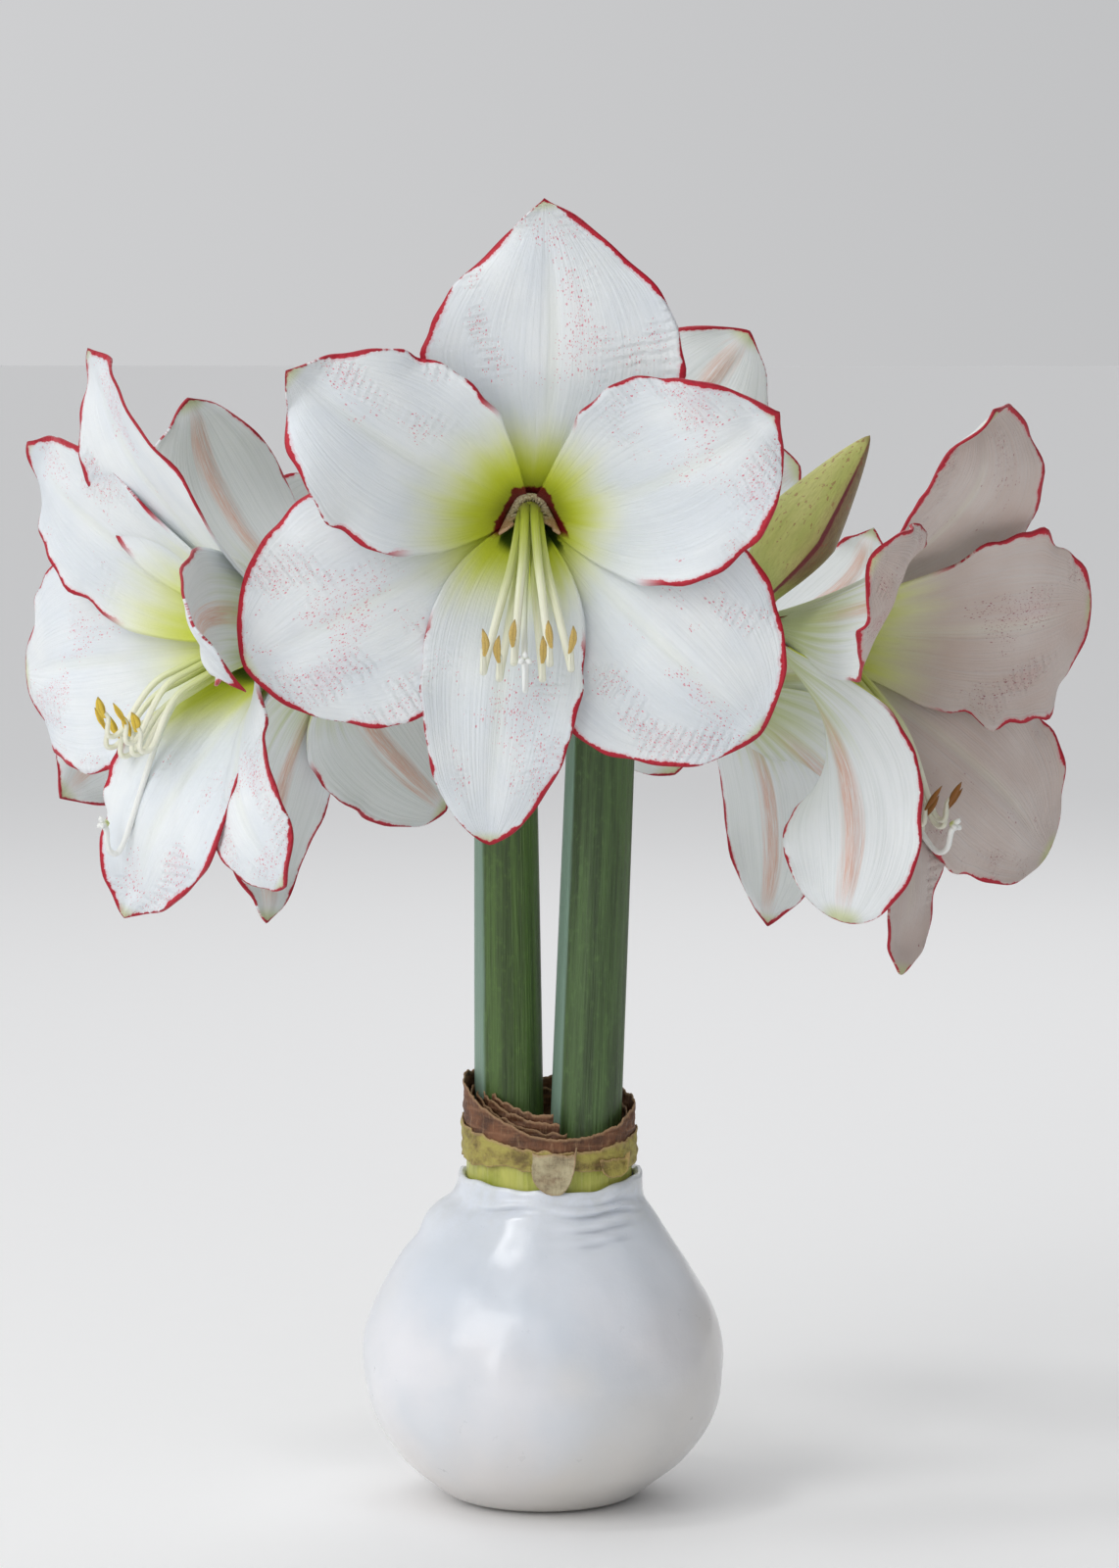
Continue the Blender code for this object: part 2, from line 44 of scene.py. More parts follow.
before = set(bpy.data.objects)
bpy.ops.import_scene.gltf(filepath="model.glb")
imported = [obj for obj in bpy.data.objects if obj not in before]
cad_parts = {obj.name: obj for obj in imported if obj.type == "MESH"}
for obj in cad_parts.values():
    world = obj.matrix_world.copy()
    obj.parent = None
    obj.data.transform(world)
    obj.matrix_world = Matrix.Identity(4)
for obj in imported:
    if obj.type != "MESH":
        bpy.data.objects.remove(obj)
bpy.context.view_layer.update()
BODY = "root"
MM = 0.001
TOUCHING = 0.3  # the gap between two pieces that grow or rest on each other

# Wax coat and neck
FOOT_RADIUS = 22
WAX_OUTLINE = (  # radius and height, from the edge of the foot up to the rim at the neck
    (27.5, 1.4),
    (33.5, 5.5),
    (42.5, 13),
    (50, 25),
    (52.7, 38),
    (52, 49),
    (49, 59.5),
    (42.7, 70.5),
    (34.8, 81),
    (29.2, 88),
    (27.6, 91),
    (27.4, 94),
)
WAX_LIP = ((26.9, 95), (25.9, 95))  # the rim's rounded top
WAX_WALL = 2.5
WAX_FLOOR = 3.5
WAX_FLOOR_EDGE = 8  # height from which the wall's inside runs in to the floor
WAX_CREASES = (  # direction from +X in degrees, half spread, height, depth in millimetres
    (-58, 26, 87.5, 2),
    (-60, 20, 83.5, 1.7),
    (-62, 16, 80, 1.5),
    (-50, 18, 90.5, 1.2),
    (-118, 20, 88.5, 1.4),
)
NECK_RADIUS = 24.4
NECK_DEPTH_SHARE = 0.86  # the neck's depth as a share of its width
NECK_SHIFT = 2  # how far the neck leans to the right
LUMP = 4.2  # how far the coat's left shoulder stands out
LUMP_HEIGHTS = (77, 86.5, 87, 93.5)  # where it starts, is full, starts to fade and ends
DRY_SHEET = 0.4  # thickness of a dry scale

# Stems
SCAPES = {
    "left": {"foot": (-9.6, 3.7, 78), "top": (-10.9, 6, 246), "radii": (10.3, 9.1)},
    "right": {"foot": (11.6, -4, 78), "top": (17.2, 2, 240), "radii": (10.5, 10.1)},
}
RECEPTACLE_RADIUS = 12.4  # the scape's widened top, on which the pedicels stand
RECEPTACLE_LENGTH = 14
PEDICEL_RING = 7.4  # radius of the ring in which they stand
PEDICEL_RADIUS = 3.9
OVARY_RADIUS = 5.8
OVARY_LENGTH = 15

# Blooms
TUBE_RADIUS = 5.2
TUBE_FLOOR = 6
THROAT_ANGLE = 24  # between a tepal's foot and the bloom's own axis, in degrees
WHORL_ANGLE = 3  # how much further the outer tepals open
THROAT_HANDLE = 0.36  # how long a tepal keeps its foot's direction, as a share of its length
FLARE_HANDLE = 0.34  # and its tip's
SHOULDER = 0.42  # share along a tepal from which it narrows
SPREAD = 0.98  # half width in the throat, as a share of the throat's radius
RIPPLE_HEIGHT = 0.5  # of the fine frills along the margins
SWELL_HEIGHT = 1.7  # of the soft bulges between them
GROOVE_DEPTH = 0.55  # of the channel down a tepal's middle
GROOVE_SPREAD = 2.6
FRINGE_SWEEP = 122  # half the angle that the arch of the fringe spans, in degrees
FRINGE_HEIGHT = 5.7
FRINGE_WIDTH = 6  # half the arch's width
FRINGE_COLUMNS = 120  # facets along the arch
TOOTH_COLUMNS = 3  # facets in a tooth, and in the notch beside it


class Tepal(NamedTuple):
    """A tepal, with its tip's place seen by someone who faces the bloom."""

    right: float
    up: float
    out: float
    wide: float = 60
    back: float = 25  # degrees by which the tip leans back
    cup: float = 12  # degrees by which each margin turns forward
    turn: float = 0  # degrees of twist at the tip
    sway: float = 0  # how far its middle lies to one side
    wave: float = 1.6  # height of the waves in its margins
    blunt: float = 0.65  # the less it is, the rounder the tip's end
    taper: float = 2.1  # near 1, its sides run straight to the tip
    hook: float = 2.5  # how far the very tip curls forward
    frill: float = 1  # how uneven its outline is


@dataclass(frozen=True)
class Bud:
    """A flower on its pedicel. Heading 0 faces -Y and 90 faces +X."""

    scape: str
    base: tuple
    heading: float
    pitch: float
    root: float  # where its pedicel stands on the scape's top, in degrees from +X


@dataclass(frozen=True)
class Bloom(Bud):
    """An open flower, with its tepals and what stands in its throat."""

    top: Tepal
    upper_left: Tepal
    upper_right: Tepal
    lower_left: Tepal
    lower_right: Tepal
    bottom: Tepal
    anthers: tuple = (-30, 66)  # up and out
    style_drop: float = 0  # how far the style hangs below the anthers
    pollen: str = "yellow"
    painted_shade: float = 0.0  # 0 for a fresh bloom, 1 for one in shade: a warm grey-cream that is mostly painted shade and partly an older bloom's cream
    grid: tuple = (40, 28)  # facets along and across a tepal


OUTER_WHORL = ("top", "lower_left", "lower_right")
INNER_WHORL = ("upper_left", "upper_right", "bottom")

BLOOMS = {
    "front": Bloom(
        scape="left",
        base=(-3.5, -32, 293),
        heading=0,
        pitch=-2,
        root=-65,
        top=Tepal(4, 90, 40, wide=102, back=22, cup=-14, sway=-6, blunt=1, taper=1.5, frill=1.6),
        upper_left=Tepal(
            -66, 43, 48, wide=62, back=35, cup=4, sway=4, wave=2.5, blunt=0.85, hook=7, frill=2.2
        ),
        upper_right=Tepal(69, 32, 48, wide=72, back=30, cup=4, sway=-7, wave=2, blunt=0.9, hook=5, frill=1.5),
        lower_left=Tepal(-80, -41, 38, wide=80, back=25, cup=-10),
        lower_right=Tepal(65, -60, 38, wide=82, back=25, cup=-10),
        bottom=Tepal(-11, -91, 44, wide=48, back=12, cup=8, sway=-3),
        pollen="tan",
        grid=(72, 48),
    ),
    "left": Bloom(
        scape="left",
        base=(-71, -8, 254),
        heading=-60,
        pitch=0,
        root=215,
        top=Tepal(-20, 86, 55, wide=62, back=20, cup=25, turn=-4, sway=-16, blunt=1, hook=2),
        upper_left=Tepal(-57, 58, 54, wide=52, back=30, blunt=0.9, sway=-4, hook=5, frill=2),
        upper_right=Tepal(
            74, -8, 54, wide=41, back=65, cup=-20, turn=25, sway=20, wave=0.3, blunt=1.2, taper=1.3, hook=0
        ),
        lower_left=Tepal(-84, -12, 46, wide=76, back=25, cup=-8),
        lower_right=Tepal(64, -64, 34, wide=42, back=30, cup=-5, turn=-5),
        bottom=Tepal(-8, -78, 49, wide=60, back=20, turn=-20, sway=18, blunt=0.85, hook=5, frill=2),
        anthers=(-19, 59),
        style_drop=26,
        grid=(60, 40),
    ),
    "right": Bloom(
        scape="right",
        base=(68, 0, 258),
        heading=55,
        pitch=-10,
        root=-10,
        top=Tepal(-5, 78, 55, wide=66, back=25, cup=8, turn=-10, sway=-17, blunt=0.75, hook=7, frill=1.5),
        upper_left=Tepal(-56, 34, 60, wide=46, back=75, cup=-25, blunt=0.5),
        upper_right=Tepal(70, 17, 62, wide=74, back=15, blunt=0.6, frill=4),
        lower_left=Tepal(-30, -74, 54, wide=48, back=0, cup=0, turn=-100, blunt=0.45),
        lower_right=Tepal(72, -60, 60, wide=72, back=15, cup=-8, blunt=0.6, frill=2),
        bottom=Tepal(2, -92, 56, wide=40, back=10, sway=8),
        anthers=(-38, 62),
        pollen="brown",
        # this bloom stands in shade, so its fronts carry the full painted shade
        painted_shade=1.0,
        grid=(60, 40),
    ),
    "back": Bloom(
        scape="right",
        base=(10, 42, 277),
        heading=180,
        pitch=0,
        root=128,
        top=Tepal(-54, 68, 42, wide=66, blunt=0.8),
        upper_left=Tepal(-70, 26, 44, wide=56),
        upper_right=Tepal(36, 52, 58, wide=54),
        lower_left=Tepal(-31, -70, 40, wide=50),
        lower_right=Tepal(50, -10, 60, wide=56),
        bottom=Tepal(34, -66, 50, wide=50),
    ),
    "back_left": Bloom(
        scape="left",
        base=(-56, 26, 250),
        heading=-136,
        pitch=0,
        root=125,
        top=Tepal(24, 75, 45, wide=66, blunt=0.8),
        upper_left=Tepal(-44, 48, 58, wide=52),
        upper_right=Tepal(50, 34, 68, wide=50),
        lower_left=Tepal(-66, -55, 28, wide=50),
        lower_right=Tepal(56, -46, 68, wide=58, blunt=0.9),
        bottom=Tepal(0, -86, 38, wide=48, sway=-5, blunt=0.9),
    ),
    "back_right": Bloom(
        scape="right",
        base=(50, 32, 240),
        heading=138,
        pitch=0,
        root=58,
        top=Tepal(-12, 45, 60, wide=50, blunt=0.9),
        upper_left=Tepal(-60, 10, 50, wide=48),
        upper_right=Tepal(34, 14, 66, wide=46),
        lower_left=Tepal(-42, -68, 38, wide=50),
        lower_right=Tepal(30, -46, 60, wide=44),
        bottom=Tepal(8, -78, 34, wide=50, blunt=0.9),
        anthers=(-12, 60),
    ),
}

BUD = Bud(scape="right", base=(60, -12, 266), heading=78, pitch=54, root=-80)
BUD_LENGTH = 60
BUD_RADIUS = 11.5
BUD_TURN = 0.72  # how far its seams are turned about its axis, in radians

# Stamens and pistil
THROAT_DISC = 3.4  # radius of the disc that joins the filaments at their feet
DISC_HEIGHT = 1.6
ANTHER_PLACES = (11, 6, -4, -13, -8, 3)  # how far to the right each one hangs
ANTHER_LENGTH = 9
ANTHER_SHAPES = {  # half thickness, share of the full length, and how far it leans to a side
    "yellow": (1.4, 0.8, 0.8),
    "tan": (1.08, 1, 0.22),
    "brown": (1.1, 1, 0.3),
}
HOOK_DEPTH = 6  # how far below its anther a filament hangs before it turns up
FILAMENT_RING = 2.5  # radius of the ring in which the filaments stand
FILAMENT_RADII = (1.3, 1.25, 1.05, 0.8, 0.4)
STYLE_RADII = (0.9, 0.9, 0.85, 0.9, 0.9)

# Stage, in metres and watts
CAMERA_TARGET = (0.005, 0, 0.212)
CAMERA_DISTANCE = 1.5
CAMERA_ELEVATION = 5
LENS = 117.3
FLOOR_REACH = 60
LAMPS = (  # name, place, width, power, what it faces, and its height as a multiple of its width
    ("key", (-1.1, -1.1, 1.3), 0.9, 6.4, (0, 0, 0.2), 1),
    ("overhead", (-0.6, -0.25, 1.6), 0.25, 2.6, (0, 0, 0.1), 1),
    ("window", (-0.85, -1.5, 0.5), 0.2, 2.2, (0, 0, 0.2), 4),
    ("back", (0.3, 1.4, 1.3), 1.2, 4, (0, 0, 0.2), 1),
)
WALL_LIGHT = (0.96, 0.22)  # at the far left and at the far right


def tint(red, green, blue):
    """A display colour from 0 to 255, as the linear light that a shader takes."""
    return tuple((part / 255) ** 2.2 for part in (red, green, blue))


def size_setting(name, description, default, **limits):
    return bpy.props.FloatProperty(
        name=name, description=description, default=default, unit="LENGTH", precision=4, **limits
    )


def share_setting(name, description, default):
    return bpy.props.FloatProperty(
        name=name, description=description, default=default, min=0, max=1, subtype="FACTOR"
    )


def colour_setting(name, description, default):
    return bpy.props.FloatVectorProperty(
        name=name, description=description, default=default, size=3, min=0, max=1, subtype="COLOR"
    )


class TepalSettings(bpy.types.PropertyGroup):
    thickness: size_setting("Thickness", "How thick a tepal is", 0.0008, min=0.0003, max=0.002)
    rim_width: size_setting("Rim width", "How wide the crimson rim is", 0.001, min=0, max=0.004)
    white: colour_setting("White", "Colour of the open part of a tepal", tint(236, 240, 241))
    rim: colour_setting("Rim", "Colour of the rim", tint(190, 14, 46))
    fleck: colour_setting("Flecks", "Colour of the flecks", tint(214, 52, 92))
    lime: colour_setting("Lime", "Colour of the throat", tint(214, 224, 68))
    # deep: the throat's own dark green, also laid on as painted shade where the tube goes deep
    deep: colour_setting("Deep green", "Colour deep in the throat", tint(62, 84, 20))
    band: colour_setting("Band", "Colour of the ring in the throat", tint(128, 14, 34))
    flecks: share_setting("Fleck share", "How many flecks a tepal has", 0.5)


class HeartSettings(bpy.types.PropertyGroup):
    filament: colour_setting("Filament", "Colour of the open part of a filament", tint(238, 238, 218))
    yellow: colour_setting("Yellow pollen", "Colour of fresh anthers", tint(240, 206, 78))
    tan: colour_setting("Tan pollen", "Colour of ripe anthers", tint(224, 192, 112))
    brown: colour_setting("Brown pollen", "Colour of spent anthers", tint(150, 96, 42))
    style: colour_setting("Style", "Colour of the style and stigma", tint(240, 242, 238))


class StemSettings(bpy.types.PropertyGroup):
    left: colour_setting("Left scape", "Colour of the left flower stem", tint(82, 110, 52))
    right: colour_setting("Right scape", "Colour of the right flower stem", tint(80, 106, 60))
    # bloom: the stems' waxy film, and also the painted light along one edge of each scape
    bloom: colour_setting("Waxy bloom", "Colour of the pale film on the stems", tint(138, 166, 150))
    pedicel: colour_setting("Pedicel", "Colour of the flower stalks", tint(134, 160, 84))
    bud: colour_setting("Bud", "Colour of the closed bud", tint(204, 202, 122))
    seam: colour_setting("Bud seam", "Colour of the bud's seams", tint(112, 34, 42))


class BulbSettings(bpy.types.PropertyGroup):
    wax: colour_setting("Wax", "Colour of the wax coat", tint(234, 234, 238))
    roughness: share_setting("Wax roughness", "How dull the wax is", 0.3)
    neck: colour_setting("Neck", "Colour of the bulb's neck", tint(190, 190, 92))
    scale: colour_setting("Dry scale", "Colour of the dry bulb scales", tint(120, 77, 50))
    torn: colour_setting("Torn edge", "Colour where the scales are torn", tint(186, 150, 112))


class StageSettings(bpy.types.PropertyGroup):
    floor: colour_setting("Floor", "Colour of the floor", tint(252, 252, 252))
    light: bpy.props.FloatProperty(
        name="Light", description="Strength of the studio's light", default=1, min=0, max=4
    )


SETTINGS = {
    "amaryllis_tepals": TepalSettings,
    "amaryllis_hearts": HeartSettings,
    "amaryllis_stems": StemSettings,
    "amaryllis_bulb": BulbSettings,
    "amaryllis_stage": StageSettings,
}


# Materials

THIN_TISSUE = {"Subsurface_Weight": 0.12, "Subsurface_Scale": 0.002, "Subsurface_Radius": (1, 0.95, 0.8)}


def dimmed(colour, share):
    return tuple(share * part for part in colour)


class Field:
    """What a node gives over the surface. Arithmetic on fields adds Math nodes."""

    def __init__(self, paint, socket):
        self.paint = paint
        self.socket = socket

    def math(self, operation, *values):
        return self.paint.node("ShaderNodeMath", {"operation": operation}, values)

    def __add__(self, other):
        return self.math("ADD", self, other)

    def __sub__(self, other):
        return self.math("SUBTRACT", self, other)

    def __rsub__(self, other):
        return self.math("SUBTRACT", other, self)

    def __mul__(self, other):
        return self.math("MULTIPLY", self, other)

    def __truediv__(self, other):
        return self.math("DIVIDE", self, other)

    def __pow__(self, other):
        return self.math("POWER", self, other)

    def __abs__(self):
        return self.math("ABSOLUTE", self)

    __radd__ = __add__
    __rmul__ = __mul__

    def sine(self):
        return self.math("SINE", self)

    def larger(self, other):
        return self.math("MAXIMUM", self, other)

    def between(self, zero, one):
        """A smooth step: 0 up to the first value and 1 from the second, which may be the smaller one."""
        settings = {"interpolation_type": "SMOOTHSTEP"}
        return self.paint.node("ShaderNodeMapRange", settings, (self, zero, one))


class Paint:
    """A material in the making, with the colour that its layers have come to so far."""

    def __init__(self, name, colour, roughness, **constants):
        self.material = bpy.data.materials.new(name)
        self.material.use_nodes = True
        self.tree = self.material.node_tree
        self.shader = self.tree.nodes["Principled BSDF"]
        self.colour = colour
        for socket, value in {"Roughness": roughness, **constants}.items():
            self.shader.inputs[socket.replace("_", " ")].default_value = value

    def feed(self, socket, value):
        if isinstance(value, Field):
            self.tree.links.new(value.socket, socket)
        elif socket.type == "RGBA":
            socket.default_value = (*value, 1)
        else:
            socket.default_value = value

    def node(self, kind, settings, values, output=0):
        """Adds a node: its settings first, then its sockets by place or by name."""
        made = self.tree.nodes.new(kind)
        for setting, value in settings.items():
            setattr(made, setting, value)
        for socket, value in values.items() if isinstance(values, dict) else enumerate(values):
            self.feed(made.inputs[socket], value)
        return Field(self, made.outputs[output])

    def vector(self, x, y, z):
        return self.node("ShaderNodeCombineXYZ", {}, (x, y, z))

    def split(self, vector):
        parts = self.node("ShaderNodeSeparateXYZ", {}, (vector,)).socket.node
        return [Field(self, socket) for socket in parts.outputs]

    def parts(self, attribute):
        return self.split(self.node("ShaderNodeAttribute", {"attribute_name": attribute}, {}, "Vector"))

    def place(self):
        return self.node("ShaderNodeTexCoord", {}, {}, "Object")

    def noise(self, place, scale=1.0, detail=3.0, roughness=0.5):
        """Noise at a place, which may be three numbers or fields."""
        vector = self.vector(*place) if isinstance(place, tuple) else place
        values = {"Vector": vector, "Scale": scale, "Detail": detail, "Roughness": roughness}
        return self.node("ShaderNodeTexNoise", {}, values)

    def cells(self, vector, output):
        return self.node("ShaderNodeTexVoronoi", {}, {"Vector": vector, "Scale": 1.0}, output)

    def mix(self, share, first, second):
        return self.node("ShaderNodeMix", {"data_type": "RGBA"}, {0: share, 6: first, 7: second}, 2)

    def lay(self, share, colour):
        """Lays a share of a colour over what is there."""
        self.colour = self.mix(share, self.colour, colour)

    def done(self, height=None):
        """The finished material, with a height in millimetres that turns its surface's normal."""
        self.feed(self.shader.inputs["Base Color"], self.colour)
        if height is not None:
            values = {"Height": height, "Distance": MM, "Strength": 1.0}
            self.feed(self.shader.inputs["Normal"], self.node("ShaderNodeBump", {}, values))
        return self.material


def tepal_patterns(paint):
    """The places on a tepal that its patterns follow, its fine lengthwise veins and its ragged specks."""
    across, along, leaf = paint.parts("share")
    side, length, margin = paint.parts("blade")
    veins = paint.noise((across * 34, along * 2.2, leaf * 7.3), detail=3.5, roughness=0.6)
    ragged = paint.noise((side * 0.5, length * 0.5, leaf * 5.1), detail=5, roughness=0.7)
    return across, along, leaf, side, length, margin, veins, ragged


def lay_rim(paint, patterns, width, look):
    """Lays the crimson rim on: uneven in width, feathered inside, and gone towards the throat."""
    _, along, leaf, side, length, margin, _, ragged = patterns
    swell = paint.noise((side * 0.03, length * 0.07, leaf * 2.3), detail=2)
    reach = width * (swell.between(0.34, 0.6) * 1.45 - 0.08 + (ragged - 0.5) * 2)
    shown = along.between(0.38, 0.47)
    paint.lay((margin - reach * 1.4).between(0.5, -0.3) * shown * 0.26, look.fleck)
    shade = paint.mix(margin.between(0, 0.9), dimmed(look.rim, 0.8), look.rim)
    paint.lay((margin - reach).between(0.16, -0.12) * shown, shade)


def lay_throat(paint, patterns, look):
    """Lays the lime throat on, with its crimson arch and the deep green inside it; that green is the throat's
    own and also painted shade for the tube's dark depth.
    """
    across, along, leaf, *_ = patterns
    x, up, depth = paint.parts("bloom")
    radial = (x * x + up * up) ** 0.5
    streak = paint.noise((across * 3.2, along * 1.1, leaf * 9.1), detail=3)
    reach = radial + x * 0.14 + (streak - 0.5) * 13
    paint.lay(reach.between(33, 17) * 0.85, tint(232, 236, 178))
    paint.lay(reach.between(25, 12), look.lime)
    paint.lay((radial + (streak - 0.5) * 6).between(14, 8) * 0.26, tint(120, 146, 28))
    uneven_band = paint.noise((x * 0.3, up * 0.3, leaf), detail=3, roughness=0.6)
    arch = (up - 7.9).larger((abs(x) + up * 0.5 - 8.6) * 0.9) + (uneven_band - 0.5) * 3.6
    ring = arch.between(0.4, -0.4) * (up + (uneven_band - 0.5) * 5).between(-7, -5)
    paint.lay(ring, look.band)
    # painted shade: deep green inside the arch stands in for the dark of the deep tube
    paint.lay((arch + 3.2).between(0.5, -0.5) * depth.between(17, 12), look.deep)
    # painted shade: the centre of the throat darkened to deep green
    paint.lay((radial + up * 0.4).between(8, 5.5), look.deep)


def lay_flecks(paint, patterns, patch, painted_shade, look):
    """Lays two sizes of flecks and a faint blush on, crowded where the patches are."""
    across, along, leaf, side, length, *_ = patterns
    crowd = patch.between(0.47, 0.66) * along.between(0.42, 0.6) * along.between(0.99, 0.88)
    crowd = crowd * abs(across).between(0.98, 0.8)
    for scale, share in ((2.1, 0.85), (1.2, 0.4)):
        spots = paint.vector(side * scale, length * 0.55 * scale, leaf * 4.3)
        chance, strength, _ = paint.split(paint.cells(spots, "Color"))
        dot = (paint.cells(spots, "Distance") + strength * 0.14).between(0.38, 0.24)
        shown = (chance - crowd * share * 2 * look.flecks).between(0.03, -0.03) * crowd.between(0, 0.15)
        # flecks are darkened by the same painted shade
        paint.lay(dot * shown * (strength * 0.5 + 0.5), dimmed(look.fleck, 1 - 0.6 * painted_shade))
    blush = patch.between(0.54, 0.78) * along.between(0.5, 0.7) * along.between(0.95, 0.8)
    paint.lay(blush * 0.08, tint(226, 120, 150))


def lay_tip(paint, side, near_tip):
    """Lays green on a tepal's point."""
    paint.lay(near_tip * abs(side).between(8, 2) * 0.7, tint(196, 204, 132))


def tepal_face_material(name, look, painted_shade):
    """The front of a tepal: white, lime in the throat, flecked and rimmed. Painted shade, 0 to 1, lays a warm
    grey-cream over it and darkens its flecks; it is mostly shade and partly an older bloom's cream.
    """
    paint = Paint(f"{name} tepal face", look.white, 0.46, **THIN_TISSUE)
    patterns = tepal_patterns(paint)
    across, along, leaf, side, length, _, veins, ragged = patterns
    cloud = paint.noise((side * 0.05, length * 0.04, leaf * 3.7), detail=2)
    paint.lay(cloud.between(0.3, 0.7), tint(224, 230, 235))
    # painted shade: a warm grey-cream over the face of a bloom that stands in shade, partly an older bloom's
    # cream
    paint.lay(painted_shade * (0.6 + cloud * 0.5), tint(198, 178, 168))
    paint.lay(veins.between(0.42, 0.72) * 0.16, tint(204, 212, 218))
    paint.lay(abs(side).between(3.2, 0.4) * along.between(0.95, 0.6) * 0.2, tint(226, 230, 206))
    lay_tip(paint, side, along.between(0.955, 0.995))
    lay_throat(paint, patterns, look)
    patch = paint.noise((side * 0.07, length * 0.04, leaf * 11.3), detail=2)
    lay_flecks(paint, patterns, patch, painted_shade, look)
    lay_rim(paint, patterns, look.rim_width / MM, look)

    pleats = (length * 2.3 + ragged * 5 + cloud * 14 + side * 0.4).sine() * patch.between(0.46, 0.6)
    pleats = pleats * along.between(0.4, 0.55) * abs(across).between(0.1, 0.5) * 0.15
    grain = paint.noise((side * 1.1, length * 0.8, leaf), detail=3)
    return paint.done(veins * 0.34 + pleats + grain * 0.1)


def tepal_back_material(look):
    """The back of a tepal: veined, green at its foot, and rusty along its rib."""
    paint = Paint("tepal back", look.white, 0.5, **THIN_TISSUE)
    patterns = tepal_patterns(paint)
    across, along, leaf, side, _, _, veins, _ = patterns
    paint.lay(veins.between(0.40, 0.75) * 0.35, tint(200, 208, 206))
    streak = paint.noise((across * 12, along * 1.6, leaf * 2.9), detail=3)
    green = (along + (streak - 0.5) * 0.4 + abs(across) * 0.16).between(0.52, 0.16)
    paint.lay(green * 0.8, tint(184, 196, 112))
    rib = (abs(side) + (streak - 0.5) * 7).between(4.6, 0.5) * along.between(0.16, 0.5)
    rib = rib * along.between(1.0, 0.82)
    fine = paint.noise((across * 60, along * 9, leaf), detail=4, roughness=0.7)
    paint.lay(rib * fine.between(0.25, 0.62) * 0.65, tint(216, 142, 104))
    lay_tip(paint, side, along.between(0.93, 0.99))
    lay_rim(paint, patterns, 0.7 * look.rim_width / MM, look)
    ridge = abs(side).between(3.5, 0.3) * 0.5
    return paint.done(veins * 0.28 + ridge + fine * 0.08)


def fringe_material():
    """The pale scales in the throat, flushed with pink at their lower ends."""
    paint = Paint("throat fringe", tint(240, 230, 192), 0.6)
    x, y, depth = paint.parts("bloom")
    grain = paint.noise((x, y, depth), scale=2.4, detail=3)
    paint.lay(grain.between(0.35, 0.75), tint(190, 160, 112))
    paint.lay(y.between(0, -3) * 0.5, tint(196, 104, 100))
    return paint.done(grain * 0.4)


def filament_material(look):
    """Lime where it stands in the throat, then white, and faintly yellow under the anther."""
    paint = Paint("filament", look.filament, 0.4, **THIN_TISSUE)
    along, round_share, number = paint.parts("stem")
    streaks = paint.noise((round_share * 9, along * 5, number * 3), detail=3)
    paint.lay((along + (streaks - 0.5) * 0.2).between(0.4, 0.08), tint(190, 200, 84))
    paint.lay(along.between(0.78, 1.0) * 0.5, tint(226, 218, 150))
    paint.lay(streaks.between(0.55, 0.8) * 0.3, tint(206, 208, 172))
    return paint.done(streaks * 0.25)


def anther_material(name, pollen):
    """A ripe anther: dusted with pollen, darker in its furrow and at its tip."""
    paint = Paint(f"anther {name}", pollen, 0.8)
    along, furrow, _ = paint.parts("stem")
    grain = paint.noise(paint.place(), scale=3200, detail=3, roughness=0.7)
    paint.lay(grain.between(0.48, 0.72) * 0.5, dimmed(pollen, 0.5))
    for lip in (furrow.between(0.25, 0.04), furrow.between(0.86, 0.98)):
        paint.lay(lip * 0.4, tint(150, 106, 46))
    paint.lay(along.between(0.84, 0.97) * 0.5, tint(134, 112, 84))
    return paint.done(grain * 0.35)


def style_material(look):
    """A white style, green at its foot."""
    paint = Paint("style", tint(196, 206, 120), 0.38, **THIN_TISSUE)
    along, round_share, number = paint.parts("stem")
    streaks = paint.noise((round_share * 8, along * 4, number), detail=3)
    paint.lay((along + (streaks - 0.5) * 0.1).between(0.1, 0.4), look.style)
    paint.lay(streaks.between(0.5, 0.8) * 0.25, tint(214, 220, 214))
    return paint.done(streaks * 0.2)


def stem_material(name, green, bloom, edge):
    """A smooth stem: mottled green, with a pale waxy film in streaks, and the same pale colour as painted
    light in a strip along one edge.
    """
    paint = Paint(name, green, 0.42, Coat_Weight=0.08)
    x, y, height = paint.parts("around")
    streaks = paint.noise((x * 0.34, y * 0.34, height * 0.012), detail=4, roughness=0.6)
    fibres = paint.noise((x * 1.7, y * 1.7, height * 0.05), detail=3, roughness=0.6)
    spots = paint.noise((x * 0.5, y * 0.5, height * 0.3), detail=5, roughness=0.65)
    paint.lay(streaks.between(0.35, 0.62), dimmed(green, 0.45))
    paint.lay(spots.between(0.5, 0.75) * 0.45, dimmed(green, 1.5))
    paint.lay(fibres.between(0.5, 0.75) * 0.3, dimmed(green, 0.45))
    # film: waxy film in streaks, plus a strip past edge that is painted light along the lit side
    film = streaks.between(0.62, 0.78) * 0.5 + (x + (streaks - 0.5) * 2).between(edge, edge + 1.6)
    paint.lay(film.between(0, 1) * 0.8, bloom)
    paint.feed(paint.shader.inputs["Roughness"], 0.36 + spots * 0.16)
    return paint.done(fibres * 0.5 + spots * 0.12)


